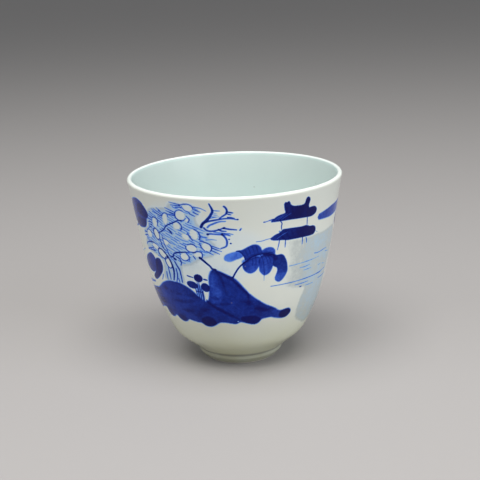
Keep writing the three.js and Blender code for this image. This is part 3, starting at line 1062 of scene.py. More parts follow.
class Graph:
    """A node tree being wired, with short calls for what is made again and again."""

    def __init__(self, tree: Tree) -> None:
        """Starts with an empty tree."""
        self.tree = tree
        tree.nodes.clear()

    def node(self, kind: str, settings: dict | None = None, **values: object) -> Node:
        """Adds a node.

        Args:
            kind: Blender's name for the node.
            settings: properties to set on it.
            **values: input values or source sockets, by socket name with underscores for spaces.

        Returns:
            The node.
        """
        made = self.tree.nodes.new(kind)
        for name, value in (settings or {}).items():
            setattr(made, name, value)
        for name, value in values.items():
            self.feed(made, name.replace("_", " "), value)
        return made

    def feed(self, node: Node, name: str | int, value: object) -> None:
        """Sets one input, or links a socket to it.

        Args:
            node: the node that takes it.
            name: the input's name or number.
            value: a value or a socket.
        """
        socket = node.inputs[name]
        if isinstance(value, Socket):
            self.tree.links.new(value, socket)
        else:
            socket.default_value = value

    def math(self, operation: str, *values: object, clamp: bool = False) -> Socket:
        """Adds a Math node fed with the values in order, and gives its result.

        Args:
            operation: Blender's name for it.
            *values: the values or sockets.
            clamp: whether the result is kept from 0 to 1.

        Returns:
            The result's socket.
        """
        made = self.node("ShaderNodeMath", {"operation": operation, "use_clamp": clamp})
        for place, value in enumerate(values):
            self.feed(made, place, value)
        return made.outputs[0]

    def ramp(self, source: Socket, low: float, high: float, start: float = 0.0, end: float = 1.0) -> Socket:
        """Smoothly turns a value's run from low to high into one from start to end.

        Args:
            source: the value.
            low: where the run begins.
            high: where it ends.
            start: the result up to low.
            end: the result from high on.

        Returns:
            The result's socket.
        """
        made = self.node("ShaderNodeMapRange", {"interpolation_type": "SMOOTHSTEP"})
        for place, value in enumerate((source, low, high, start, end)):
            self.feed(made, place, value)
        return made.outputs["Result"]

    def mix(self, share: object, first: object, second: object, blend: str = "MIX") -> Socket:
        """Mixes two colours.

        Args:
            share: how much of the second colour.
            first: the first colour.
            second: the second.
            blend: how they are blended.

        Returns:
            The result's socket.
        """
        made = self.node("ShaderNodeMix", {"data_type": "RGBA", "blend_type": blend})
        for place, value in ((0, share), (6, first), (7, second)):
            self.feed(made, place, value)
        return made.outputs[2]

    def noise(self, at: Socket, scale: float, detail: float = 2.0, rough: float = 0.5) -> Socket:
        """A noise value over the places given."""
        made = self.node("ShaderNodeTexNoise", Vector=at, Scale=scale, Detail=detail, Roughness=rough)
        return made.outputs["Fac"]


def shader_group(name: str, inputs: Sequence[tuple[str, str, object]],
                 outputs: Sequence[tuple[str, str]]) -> tuple[Graph, Node, Node]:
    """Makes an empty shader group.

    Args:
        name: the group's name.
        inputs: each input's name, kind ("Float", "Color" or "Vector") and usual value.
        outputs: each output's name and kind.

    Returns:
        The group's graph, its input node and its output node.
    """
    tree = bpy.data.node_groups.new(name, "ShaderNodeTree")
    for label, kind, value in inputs:
        socket = tree.interface.new_socket(name=label, in_out="INPUT", socket_type=f"NodeSocket{kind}")
        socket.default_value = value
    for label, kind in outputs:
        tree.interface.new_socket(name=label, in_out="OUTPUT", socket_type=f"NodeSocket{kind}")
    graph = Graph(tree)
    return graph, graph.node("NodeGroupInput"), graph.node("NodeGroupOutput")


def tone(colour: Colour) -> tuple[float, float, float, float]:
    """A display colour from 0 to 255 as the linear colour that shaders take."""
    linear = [(c / 255 / 12.92) if c <= 10 else ((c / 255 + 0.055) / 1.055) ** 2.4 for c in colour]
    return (*linear, 1.0)


@dataclass
class GlazeShop:
    """The shader groups that the finishes share, each built once."""

    groups: dict[str, Tree] = field(default_factory=dict)

    def __post_init__(self) -> None:
        """Builds every group."""
        for build in (self.glaze_tint, self.cobalt_stain, self.glaze_skin, self.fired_specks):
            tree = build()
            self.groups[tree.name] = tree

    @staticmethod
    def glaze_tint() -> Tree:
        """The glaze's colour: its body; darker and greener low down, partly where it pools and partly painted
        shade; paler at the lip's crest, partly thinner glaze and partly a painted highlight; and painted
        shade under the lip, in the groove over the foot and on the foot.

        Returns:
            The group.
        """
        graph, given, out = shader_group(
            "glaze_tint",
            [("Body", "Color", tone((212, 215, 207))), ("Pool", "Color", tone((172, 176, 152))),
             ("Lip", "Color", tone((236, 240, 234))), ("Pool low", "Float", 0.003),
             ("Pool high", "Float", 0.024), ("Lip low", "Float", 0.0632), ("Lip high", "Float", 0.064),
             # Groove depth is how strongly the painted shade darkens the groove and the foot.
             ("Groove depth", "Float", 0.0)],
            [("Colour", "Color")],
        )
        place = graph.node("ShaderNodeTexCoord").outputs["Object"]
        height = graph.node("ShaderNodeSeparateXYZ", Vector=place).outputs["Z"]
        sway = graph.math("MULTIPLY_ADD", graph.noise(place, 45.0), 0.008, -0.004)
        level = graph.math("ADD", height, sway)
        # Darker and greener towards the bottom: partly the glaze pooling thicker low down, and partly painted
        # shade.
        pool_and_shade_share = graph.node("ShaderNodeMapRange", {"interpolation_type": "SMOOTHSTEP"}, To_Min=1.0,
                             To_Max=0.0)
        for name, source in (("Value", level), ("From Min", given.outputs["Pool low"]),
                             ("From Max", given.outputs["Pool high"])):
            graph.feed(pool_and_shade_share, name, source)
        # Paler at the lip's crest: partly the glaze running thinner there, and partly a painted highlight.
        lip = graph.node("ShaderNodeMapRange", {"interpolation_type": "SMOOTHSTEP"})
        for name, source in (("Value", height), ("From Min", given.outputs["Lip low"]),
                             ("From Max", given.outputs["Lip high"])):
            graph.feed(lip, name, source)
        colour = graph.mix(pool_and_shade_share.outputs["Result"], given.outputs["Body"], given.outputs["Pool"])
        colour = graph.mix(lip.outputs["Result"], colour, given.outputs["Lip"])
        # Painted shade under the lip: the upper walls, from 44 mm up to just under the crest, are mixed a
        # little towards grey.
        under_lip_shade_rise = graph.ramp(height, 0.044, 0.061)
        under_lip_shade_fall = graph.ramp(height, 0.0625, 0.0634, 1.0, 0.0)
        thin = graph.math("MULTIPLY", under_lip_shade_rise, under_lip_shade_fall)
        colour = graph.mix(graph.math("MULTIPLY", thin, 0.3), colour, tone((176, 180, 176)))
        # Painted shade in the crease where the bowl meets the foot ring, and on the foot below it.
        groove_height = 0.0039
        off_groove = graph.math("ABSOLUTE", graph.math("SUBTRACT", height, groove_height))
        groove_and_foot_shade = graph.math("MAXIMUM", graph.ramp(off_groove, 0.0002, 0.0014, 1.0, 0.0),
                            graph.ramp(height, 0.0035, 0.0045, 0.6, 0.0))
        colour = graph.mix(graph.math("MULTIPLY", groove_and_foot_shade, given.outputs["Groove depth"]), colour,
                           tone((112, 110, 110)))
        cloud = graph.ramp(graph.noise(place, 120.0, 3.0), 0.3, 0.7, 0.0, 0.14)
        colour = graph.mix(cloud, colour, tone((196, 204, 202)))
        graph.feed(out, "Colour", colour)
        return graph.tree

    @staticmethod
    def cobalt_stain() -> Tree:
        """Cobalt under the glaze: it darkens from a watery grey-blue to nearly black with its strength.

        Returns:
            The group.
        """
        graph, given, out = shader_group(
            "cobalt_stain",
            [("Glaze", "Color", tone((212, 215, 207))), ("Strength", "Float", 0.0),
             ("Mottling", "Float", 0.15), ("Cast", "Color", tone((203, 217, 226)))],
            [("Colour", "Color")],
        )
        place = graph.node("ShaderNodeTexCoord").outputs["Object"]
        broad = graph.math("SUBTRACT", graph.noise(place, 260.0, 3.0, 0.6), 0.5)
        fine = graph.math("SUBTRACT", graph.noise(place, 1300.0, 2.0, 0.6), 0.5)
        both = graph.math("MULTIPLY_ADD", fine, 0.6, broad)
        strength = given.outputs["Strength"]
        room = graph.math("MULTIPLY", strength, graph.math("SUBTRACT", 1.12, strength))
        mottling = graph.math("MULTIPLY", given.outputs["Mottling"], 8.0)
        change = graph.math("MULTIPLY", graph.math("MULTIPLY", both, room), mottling)
        uneven = graph.math("ADD", strength, change, clamp=True)
        ramp = graph.node("ShaderNodeValToRGB", Fac=uneven)
        stops = ((0.0, (1, 1, 1)), (0.06, (0.98, 0.99, 0.995)), (0.15, (0.69, 0.72, 0.76)),
                 (0.25, (0.6, 0.77, 1.0)), (0.36, (0.28, 0.52, 1.0)), (0.5, (0.11, 0.27, 0.98)),
                 (0.64, (0.045, 0.13, 0.72)), (0.76, (0.014, 0.052, 0.44)), (0.86, (0.004, 0.025, 0.28)),
                 (0.95, (0.001, 0.007, 0.17)), (1.0, (0.001, 0.002, 0.12)))
        while len(ramp.color_ramp.elements) < len(stops):
            ramp.color_ramp.elements.new(0.5)
        for element, (position, colour) in zip(ramp.color_ramp.elements, stops):
            element.position, element.color = position, (*colour, 1)
        reach = graph.math("MULTIPLY", strength, 14.0, clamp=True)
        across = graph.node("ShaderNodeSeparateXYZ", Vector=place).outputs["X"]
        side = graph.ramp(across, 0.004, 0.018, 0.7, 0.08)
        bluish = graph.mix(graph.math("MULTIPLY", reach, side), given.outputs["Glaze"],
                           given.outputs["Cast"])
        stained = graph.mix(1.0, bluish, ramp.outputs["Color"], "MULTIPLY")
        graph.feed(out, "Colour", stained)
        return graph.tree

    @staticmethod
    def glaze_skin() -> Tree:
        """The glaze's surface: faint orange peel, a few pinholes, and small changes of gloss.

        Returns:
            The group.
        """
        graph, given, out = shader_group(
            "glaze_skin",
            [("Roughness", "Float", 0.1), ("Peel", "Float", 1.0), ("Pinholes", "Float", 1.0)],
            [("Roughness", "Float"), ("Height", "Float"), ("Pinholes", "Float")],
        )
        place = graph.node("ShaderNodeTexCoord").outputs["Object"]
        wave = graph.noise(place, 160.0, 1.0)
        peel = graph.noise(place, 900.0, 2.0)
        cells = graph.node("ShaderNodeTexVoronoi", {"feature": "F1"}, Vector=place, Scale=420.0)
        pick = graph.node("ShaderNodeSeparateXYZ", Vector=cells.outputs["Color"])
        rare = graph.math("GREATER_THAN", pick.outputs["X"], 0.93)
        dot = graph.ramp(cells.outputs["Distance"], 0.05, 0.16, 1.0, 0.0)
        holes = graph.math("MULTIPLY", graph.math("MULTIPLY", dot, rare), given.outputs["Pinholes"])
        height = graph.math("MULTIPLY_ADD", wave, 1.6, graph.math("MULTIPLY", peel, 0.22))
        height = graph.math("MULTIPLY", height, given.outputs["Peel"])
        height = graph.math("SUBTRACT", height, graph.math("MULTIPLY", holes, 0.5))
        rough = graph.math("MULTIPLY_ADD", graph.noise(place, 330.0, 4.0), 0.08, given.outputs["Roughness"])
        graph.feed(out, "Roughness", graph.math("MULTIPLY_ADD", holes, 0.25, rough))
        graph.feed(out, "Height", height)
        graph.feed(out, "Pinholes", holes)
        return graph.tree

    @staticmethod
    def fired_specks() -> Tree:
        """Small iron specks, scattered by cells, as a mask from 0 to 1.

        Returns:
            The group.
        """
        graph, given, out = shader_group(
            "fired_specks", [("Scale", "Float", 260.0), ("Share", "Float", 0.04), ("Size", "Float", 0.12)],
            [("Mask", "Float")],
        )
        place = graph.node("ShaderNodeTexCoord").outputs["Object"]
        cells = graph.node("ShaderNodeTexVoronoi", {"feature": "F1"}, Vector=place,
                           Scale=given.outputs["Scale"])
        pick = graph.node("ShaderNodeSeparateXYZ", Vector=cells.outputs["Color"])
        chosen = graph.math("LESS_THAN", pick.outputs["X"], given.outputs["Share"])
        reach = graph.math("MULTIPLY", given.outputs["Size"], graph.math("ADD", pick.outputs["Y"], 0.35))
        near = graph.math("LESS_THAN", cells.outputs["Distance"], reach)
        graph.feed(out, "Mask", graph.math("MULTIPLY", chosen, near))
        return graph.tree

    def place(self, graph: Graph, name: str, **values: object) -> Node:
        """Places one of the groups in a material, with its values.

        Args:
            graph: the material's graph.
            name: the group's name.
            **values: values or sockets, by input, with underscores for spaces.

        Returns:
            The group's node.
        """
        made = graph.node("ShaderNodeGroup", {"node_tree": self.groups[name]})
        for label, value in values.items():
            graph.feed(made, label.replace("_", " "), value)
        return made


def fresh_material(name: str) -> tuple[Material, Graph, Node]:
    """Makes a material with its Principled BSDF joined to the output.

    Args:
        name: the material's name.

    Returns:
        The material, its graph and its Principled BSDF.
    """
    material = bpy.data.materials.new(name)
    material.use_nodes = True
    graph = Graph(material.node_tree)
    shader = graph.node("ShaderNodeBsdfPrincipled")
    graph.node("ShaderNodeOutputMaterial", Surface=shader.outputs[0])
    LOG.info("finish %s", name)
    return material, graph, shader


@dataclass(frozen=True)
class GlazeFinish:
    """A clear glaze on porcelain, with or without cobalt under it."""

    name: str
    body: Colour
    # pool is the colour low down, partly pooled glaze and partly painted shade; it fades out between the two
    # heights below it.
    pool: Colour
    lip: Colour
    pool_shade_low: float = 0.002
    pool_shade_high: float = 0.026
    roughness: float = 0.09
    gloss: float = 0.14
    lip_low: float = 0.0632
    # Strength of the painted shade in the groove over the foot and on the foot below it.
    groove_and_foot_shade: float = 0.0
    painted: bool = False

    def material(self, shop: GlazeShop) -> Material:
        """Builds the glaze's material.

        Args:
            shop: the shader groups to build it from.

        Returns:
            The material.
        """
        material, graph, shader = fresh_material(self.name)
        tint = shop.place(graph, "glaze_tint", Body=tone(self.body), Pool=tone(self.pool),
                          Lip=tone(self.lip), Pool_low=self.pool_shade_low, Pool_high=self.pool_shade_high,
                          Lip_low=self.lip_low, Groove_depth=self.groove_and_foot_shade)
        colour = tint.outputs["Colour"]
        if self.painted:
            pigment = graph.node("ShaderNodeAttribute", {"attribute_name": PIGMENT})
            stain = shop.place(graph, "cobalt_stain", Glaze=colour, Strength=pigment.outputs["Fac"])
            colour = stain.outputs["Colour"]
        specks = shop.place(graph, "fired_specks", Scale=170.0, Share=0.02, Size=0.07)
        colour = graph.mix(graph.math("MULTIPLY", specks.outputs["Mask"], 0.55), colour, tone((96, 84, 70)))
        skin = shop.place(graph, "glaze_skin", Roughness=self.roughness)
        colour = graph.mix(graph.math("MULTIPLY", skin.outputs["Pinholes"], 0.35), colour,
                           tone((120, 112, 100)))
        bump = graph.node("ShaderNodeBump", Strength=0.35, Distance=0.00012, Height=skin.outputs["Height"])
        for name, value in (("Base Color", colour), ("Roughness", skin.outputs["Roughness"]),
                            ("Normal", bump.outputs[0]), ("IOR", 1.5), ("Specular IOR Level", self.gloss)):
            graph.feed(shader, name, value)
        return material


@dataclass(frozen=True)
class BiscuitFinish:
    """Bare fired porcelain: matt, faintly warm, with turning lines and specks of iron."""

    name: str
    body: Colour
    burnt: Colour

    def material(self, shop: GlazeShop) -> Material:
        """Builds the bare clay's material.

        Args:
            shop: the shader groups to build it from.

        Returns:
            The material.
        """
        material, graph, shader = fresh_material(self.name)
        place = graph.node("ShaderNodeTexCoord").outputs["Object"]
        height = graph.node("ShaderNodeSeparateXYZ", Vector=place).outputs["Z"]
        level = graph.math("ADD", height, graph.math("MULTIPLY", graph.noise(place, 300.0, 4.0), 0.0012))
        colour = graph.mix(graph.ramp(level, 0.0008, 0.0024), tone(self.burnt), tone(self.body))
        dust = graph.ramp(graph.noise(place, 1500.0, 3.0), 0.4, 0.7, 0.0, 0.25)
        colour = graph.mix(dust, colour, tone((150, 134, 112)))
        specks = shop.place(graph, "fired_specks", Scale=420.0, Share=0.12, Size=0.14)
        colour = graph.mix(graph.math("MULTIPLY", specks.outputs["Mask"], 0.7), colour, tone((70, 52, 38)))
        rings = graph.node("ShaderNodeTexWave", {"wave_type": "RINGS", "rings_direction": "Z"}, Vector=place,
                           Scale=420.0, Distortion=0.6, Detail=2.0)
        grain = graph.math("MULTIPLY_ADD", rings.outputs["Fac"], 0.3, graph.noise(place, 2600.0, 4.0))
        bump = graph.node("ShaderNodeBump", Strength=0.5, Distance=0.00006, Height=grain)
        rough = graph.ramp(graph.noise(place, 900.0, 3.0), 0.2, 0.8, 0.62, 0.85)
        for name, value in (("Base Color", colour), ("Roughness", rough), ("Normal", bump.outputs[0])):
            graph.feed(shader, name, value)
        return material


# Meshes -----------------------------------------------------------------------------------------------------

PIGMENT = "pigment"
BAKE_MAP = "OFBake"
COLUMNS = 180


def polyline(name: str, points: Array) -> Thing:
    """An object whose mesh is a line of points in the plane of radius (X) and height (Z).

    Args:
        name: the object's name.
        points: radius and height of each point, in millimetres.

    Returns:
        The object, linked to the scene.
    """
    mesh = bpy.data.meshes.new(name)
    rows = [(x * MM, 0.0, z * MM) for x, z in points]
    mesh.from_pydata(rows, [(i, i + 1) for i in range(len(rows) - 1)], [])
    made = bpy.data.objects.new(name, mesh)
    bpy.context.scene.collection.objects.link(made)
    return made


@dataclass
class Wheel:
    """The potter's wheel: a Geometry Nodes tree that turns a profile round the Z axis into a closed piece."""

    columns: int = COLUMNS
    corner: float = 40.0
    tree: Tree | None = None

    def build_tree(self) -> Tree:
        """Builds the tree, with its sizes as named inputs.

        Returns:
            The tree.
        """
        tree = bpy.data.node_groups.new("turned_piece", "GeometryNodeTree")
        tree.is_modifier = True
        for label, kind in (("Profile", "Geometry"), ("Steps round", "Int"), ("Oval", "Float"),
                            ("Oval turn", "Float"), ("Full height", "Float"), ("Corner angle", "Float"),
                            ("Finish", "Material")):
            tree.interface.new_socket(name=label, in_out="INPUT", socket_type=f"NodeSocket{kind}")
        tree.interface.new_socket(name="Piece", in_out="OUTPUT", socket_type="NodeSocketGeometry")
        g = Graph(tree)
        given, out = g.node("NodeGroupInput"), g.node("NodeGroupOutput")
        profile, steps = given.outputs["Profile"], given.outputs["Steps round"]
        size = g.node("GeometryNodeAttributeDomainSize", {"component": "MESH"}, Geometry=profile)
        count = size.outputs["Point Count"]
        columns = g.math("ADD", steps, 1.0)
        grid = g.node("GeometryNodeMeshGrid", Size_X=1.0, Size_Y=1.0, Vertices_X=columns, Vertices_Y=count)
        index = g.node("GeometryNodeInputIndex").outputs[0]
        column = g.math("FLOOR", g.math("DIVIDE", g.math("ADD", index, 0.5), count))
        row = g.math("SUBTRACT", index, g.math("MULTIPLY", column, count))
        here = g.node("GeometryNodeSampleIndex", {"data_type": "FLOAT_VECTOR", "domain": "POINT"},
                      Geometry=profile, Value=g.node("GeometryNodeInputPosition").outputs[0],
                      Index=row).outputs["Value"]
        split = g.node("ShaderNodeSeparateXYZ", Vector=here)
        angle = g.math("DIVIDE", g.math("MULTIPLY", column, 2 * math.pi), steps)
        share = g.math("DIVIDE", split.outputs["Z"], given.outputs["Full height"])
        lean = g.math("MULTIPLY", given.outputs["Oval"], g.math("MULTIPLY", share, share))
        turned = g.math("SUBTRACT", angle, given.outputs["Oval turn"])
        swing = g.math("COSINE", g.math("MULTIPLY", turned, 2.0))
        radius = g.math("MULTIPLY", split.outputs["X"], g.math("MULTIPLY_ADD", lean, swing, 1.0))
        spot = g.node("ShaderNodeCombineXYZ", X=g.math("MULTIPLY", radius, g.math("SINE", angle)),
                      Y=g.math("MULTIPLY", g.math("MULTIPLY", radius, g.math("COSINE", angle)), -1.0),
                      Z=split.outputs["Z"]).outputs[0]
        placed = g.node("GeometryNodeSetPosition", Geometry=grid.outputs["Mesh"], Position=spot)
        merged = g.node("GeometryNodeMergeByDistance", Geometry=placed.outputs[0], Distance=0.000002)
        smooth = g.node("GeometryNodeSetShadeSmooth", {"domain": "FACE"}, Geometry=merged.outputs[0],
                        Shade_Smooth=True)
        turn = g.node("GeometryNodeInputMeshEdgeAngle").outputs["Unsigned Angle"]
        sharp = g.math("GREATER_THAN", turn, given.outputs["Corner angle"])
        edges = g.node("GeometryNodeSetShadeSmooth", {"domain": "EDGE"}, Geometry=smooth.outputs[0],
                       Selection=sharp, Shade_Smooth=False)
        real = g.node("GeometryNodeRealizeInstances", Geometry=edges.outputs[0])
        dressed = g.node("GeometryNodeSetMaterial", Geometry=real.outputs[0],
                         Material=given.outputs["Finish"])
        g.feed(out, "Piece", dressed.outputs[0])
        return tree

    def turn(self, name: str, profile: Array, finish: Material, outline: CupOutline,
             hand: HandOfThePotter) -> Thing:
        """Turns a profile into a piece.

        Args:
            name: the piece's name.
            profile: radius and height, in millimetres, up the outside and down the inside.
            finish: the piece's material.
            outline: the cup's outline, for its height.
            hand: how far the cup strays from a true round.

        Returns:
            The piece, with a plain mesh.
        """
        self.tree = self.tree or self.build_tree()
        piece = polyline(name, profile)
        modifier = piece.modifiers.new("turned", "NODES")
        modifier.node_group = self.tree
        values = {"Steps round": self.columns, "Oval": hand.oval, "Oval turn": hand.turn,
                  "Full height": outline.height * MM, "Corner angle": math.radians(self.corner),
                  "Finish": finish}
        for item in self.tree.interface.items_tree:
            if item.item_type == "SOCKET" and item.in_out == "INPUT" and item.name in values:
                modifier[item.identifier] = values[item.name]
        bpy.context.view_layer.update()
        seen = piece.evaluated_get(bpy.context.evaluated_depsgraph_get())
        mesh = bpy.data.meshes.new_from_object(seen)
        piece.modifiers.remove(modifier)
        piece.data = mesh
        mesh.name = name
        return piece


class Chart(Enum):
    """The part of the bake's chart in which a face lies."""

    LIP = "lip"
    HIDDEN = "hidden"
    FOOT = "foot"


@dataclass(frozen=True)
class Strip:
    """A strip of faces round the cup: its place in the bake's chart, and its normals as radius and height."""

    chart: Chart
    start: float
    end: float
    first: Array
    last: Array


@dataclass
class PaintedWall:
    """The outer glaze over the painting: a closed coat whose face follows the edges of the brush marks."""

    outline: CupOutline
    hand: HandOfThePotter
    painting: Painting
    reference: float = 30.0
    row_step: float = 1.0
    hidden_step: float = 2.5
    fine_step: float = 0.1
    side_inset: float = 0.2
    rim_inset: float = 0.15
    seat_gap: float = 0.3
    tolerance: float = 0.003
    same: float = 1e-3
    front_edge: int = 45
    front_chart: tuple[float, float] = (0.36, 0.995)
    back_chart: tuple[float, float] = (0.045, 0.35)
    hidden_chart: tuple[float, float] = (0.005, 0.035)
    chart_side: float = 0.004
    chart_gap: float = 0.003
    margin: float = 0.022

    def half_round(self) -> float:
        """Half the way round the reference cylinder."""
        return math.pi * self.reference

    def wall(self, step: float) -> Array:
        """The part of the outer face that the painting may cover, from the foot's fillet up to the lip.

        Args:
            step: distance between the points.

        Returns:
            Radius and height of the points, from the foot up.
        """
        lip_points = len(self.outline.lip(90, self.outline.rim_slope - 90))
        down = self.outline.outside(step)[lip_points - 1 :]
        low = self.outline.glazed_foot()[0][-1]
        kept = down[down[:, 1] > low[1] + step * self.seat_gap]
        return np.concatenate([kept, low[None]])[::-1]

    def place(self, across: Array, radius: Array, height: Array) -> Array:
        """Places in space, in metres, of points on the coat.

        Args:
            across: distances to the right of the front.
            radius: radii.
            height: heights.

        Returns:
            The places, one per row.
        """
        angle = across / self.reference
        out = radius * self.hand.stretch(angle, height / self.outline.height)
        return np.stack([out * np.sin(angle), -out * np.cos(angle), height], 1) * MM

    def closing_runs(self) -> list[tuple[Chart, Array, Array]]:
        """The rest of the coat's section, from the top of the painted band over the lip and down the clay
        side to the foot, as runs of points with their normals.

        Returns:
            Each smooth run's part of the bake's chart, its points and its normals.
        """
        shape = self.outline
        angles = np.linspace(shape.rim_slope - 90, 90, len(shape.lip(90, shape.rim_slope - 90)))
        lip_normals = np.array([heading(a) for a in angles])
        lip = shape.lip_centre + lip_normals * shape.lip_thickness / 2
        down = shape.outside(self.hidden_step)
        out = -normals_of(down)
        out[0] = heading(90)
        clay = down - out * shape.glaze
        clay = clay[clay[:, 1] > shape.seat + self.seat_gap]
        seat = np.array([shape.ring_outside, shape.seat])
        clay = np.concatenate([clay, [seat, shape.clay_bend, shape.clay_edge]])
        cut = np.array([lip[-1], clay[0]])
        foot, foot_normals = shape.glazed_foot()
        return [(Chart.LIP, lip, lip_normals), (Chart.HIDDEN, cut, np.tile([-1.0, 0.0], (2, 1))),
                (Chart.HIDDEN, clay, normals_of(clay)), (Chart.FOOT, foot, foot_normals)]

    def triangulate(self, marks: list[Mark]) -> tuple[Array, Array]:
        """Cuts the flat sheet into triangles along the edges of the marks.

        Args:
            marks: the painting's marks.

        Returns:
            Points (across, height) and triangles.
        """
        rows = self.wall(self.row_step)[:, 1]
        edge = self.half_round()
        columns = np.linspace(-edge, edge, COLUMNS + 1)
        points = [np.array([(x, z) for z in rows for x in columns])]
        links, start = [], len(points[0])
        wide = COLUMNS + 1
        for j in range(len(rows) - 1):
            for column in (0, self.front_edge, COLUMNS - self.front_edge, COLUMNS):
                links.append((j * wide + column, (j + 1) * wide + column))
        low, high, side = rows[0] + self.rim_inset, rows[-1] - self.rim_inset, edge - self.side_inset
        for mark in marks:
            for ring in mark.rings():
                ring = np.stack([np.clip(ring[:, 0], -side, side), np.clip(ring[:, 1], low, high)], 1)
                points.append(ring)
                links += [(start + i, start + (i + 1) % len(ring)) for i in range(len(ring))]
                start += len(ring)
        flat = [Vector(p) for p in np.concatenate(points).tolist()]
        verts, _, faces, *_ = delaunay_2d_cdt(flat, links, [], 0, self.tolerance)
        return np.array([tuple(v) for v in verts]), np.array(faces)

    def pigment(self, places: Array, marks: list[Mark]) -> Array:
        """Strength of the cobalt at each place, after every mark is painted.

        Args:
            places: the places, one per row.
            marks: the painting's marks.

        Returns:
            The strength at each place, from 0 to 1.
        """
        strength = np.zeros(len(places))
        for mark in marks:
            mark.apply(places, strength)
        return strength

    def build(self, name: str, finish: Material) -> Thing:
        """Builds the coat.

        Args:
            name: the piece's name.
            finish: its material.

        Returns:
            The piece.
        """
        marks = self.painting.marks()
        flat, triangles = self.triangulate(marks)
        edge = self.half_round()
        fine = self.wall(self.fine_step)
        slope = normals_of(fine)
        radius = np.interp(flat[:, 1], fine[:, 1], fine[:, 0])
        tilt = np.stack([np.interp(flat[:, 1], fine[:, 1], slope[:, k]) for k in (0, 1)], 1)
        strength = self.pigment(flat, marks)

        order = np.arange(len(flat))
        left = np.flatnonzero(np.abs(flat[:, 0] + edge) < self.same)
        right = np.flatnonzero(np.abs(flat[:, 0] - edge) < self.same)
        left, right = left[flat[left, 1].argsort()], right[flat[right, 1].argsort()]
        order[right] = left
        rims = []
        for level in (flat[:, 1].max(), flat[:, 1].min()):
            row = np.flatnonzero(np.abs(flat[:, 1] - level) < self.same)
            row = row[flat[row, 0].argsort()]
            if len(row) != COLUMNS + 1:
                raise ValueError(f"the band's edge at {level:.2f} has {len(row)} points")
            rims.append(row[:-1])

        across = np.linspace(-edge, edge, COLUMNS + 1)
        runs = self.closing_runs()
        hidden_total = sum(len(points) - 1 for chart, points, _ in runs if chart is Chart.HIDDEN)
        hidden_passed = 0
        places = [self.place(flat[:, 0], radius, flat[:, 1])]
        total, rows = len(flat), [rims[0]]
        strips: list[Strip] = []
        for number, (chart, points, normals) in enumerate(runs):
            whole = hidden_total if chart is Chart.HIDDEN else len(points) - 1
            for j, (r, z) in enumerate(points[1:], 1):
                if number == len(runs) - 1 and j == len(points) - 1:
                    rows.append(rims[1])
                else:
                    places.append(self.place(across[:-1], np.full(COLUMNS, r), np.full(COLUMNS, z)))
                    rows.append(np.arange(total, total + COLUMNS))
                    total += COLUMNS
                passed = hidden_passed + j if chart is Chart.HIDDEN else j
                strips.append(Strip(chart, (passed - 1) / whole, passed / whole, normals[j - 1], normals[j]))
            hidden_passed += len(points) - 1 if chart is Chart.HIDDEN else 0
        return self.assemble(name, finish, np.concatenate(places), flat, order, triangles, tilt, strength,
                             rows, strips)

    def assemble(self, name: str, finish: Material, places: Array, flat: Array, order: Array,
                 triangles: Array, tilt: Array, strength: Array, rows: list[Array],
                 strips: list[Strip]) -> Thing:
        """Makes the mesh from the cut sheet and the rows that close it.

        Args:
            name: the piece's name.
            finish: its material.
            places: every point's place, in metres.
            flat: the sheet's points before they are wrapped round.
            order: for each of the sheet's points, the point that stands for it once the sheet is joined.
            triangles: the sheet's triangles.
            tilt: the sheet's normals, as radius and height.
            strength: the pigment at the sheet's points.
            rows: rows of points that close the coat, from the top of the sheet round to its foot.
            strips: the closing strips between those rows.

        Returns:
            The piece.
        """
        edge = self.half_round()
        faces = [tuple(t) for t in order[triangles].tolist()]
        angle = flat[:, 0] / self.reference
        wrapped = np.stack([tilt[:, 0] * np.sin(angle), -tilt[:, 0] * np.cos(angle), tilt[:, 1]], 1)
        normals = [wrapped[triangles].reshape(-1, 3)]
        low, high = flat[:, 1].min(), flat[:, 1].max()
        share = (flat[:, 1] - low) / (high - low)
        middle = flat[triangles][:, :, 0].mean(1)
        front = np.abs(middle) < edge / 2
        corner_x = flat[triangles][:, :, 0]
        corner_y = share[triangles]
        behind = np.where(corner_x < 0, corner_x + 2 * edge, corner_x)
        across = np.where(front[:, None], (corner_x + edge / 2) / edge, (behind - edge / 2) / edge)
        m, parts = self.margin, (self.front_chart, self.back_chart)
        bands = [a + m + corner_y * (b - a - 2 * m) for a, b in parts]
        up = np.where(front[:, None], *bands)
        charts = [np.stack([self.chart_across(across.reshape(-1)), up.reshape(-1)], 1)]

        steps = 2 * math.pi / COLUMNS
        for number, strip in enumerate(strips):
            upper, lower = rows[number], rows[number + 1]
            for i in range(COLUMNS):
                k = (i + 1) % COLUMNS
                faces.append((int(upper[i]), int(upper[k]), int(lower[k]), int(lower[i])))
                for column, normal in ((i, strip.first), (i + 1, strip.first), (i + 1, strip.last),
                                       (i, strip.last)):
                    a = column * steps - math.pi
                    out, rise = normal
                    normals.append(np.array([[out * math.sin(a), -out * math.cos(a), rise]]))
                charts.append(self.strip_chart(i, strip))
        mesh = bpy.data.meshes.new(name)
        mesh.from_pydata(places.tolist(), [], faces)
        used = np.zeros(len(places))
        used[: len(strength)] = strength
        layer = mesh.attributes.new(PIGMENT, "FLOAT", "POINT")
        layer.data.foreach_set("value", used)
        chart = mesh.uv_layers.new(name=BAKE_MAP)
        chart.data.foreach_set("uv", np.concatenate(charts).ravel())
        mesh.materials.append(finish)
        mesh.polygons.foreach_set("use_smooth", [True] * len(mesh.polygons))
        mesh.normals_split_custom_set(np.concatenate(normals).tolist())
        piece = bpy.data.objects.new(name, mesh)
        bpy.context.scene.collection.objects.link(piece)
        self.report(mesh)
        return piece

    def chart_across(self, share: float | Array) -> float | Array:
        """Where a share of the way across a part of the bake's chart lies."""
        return self.chart_side + share * (1 - 2 * self.chart_side)

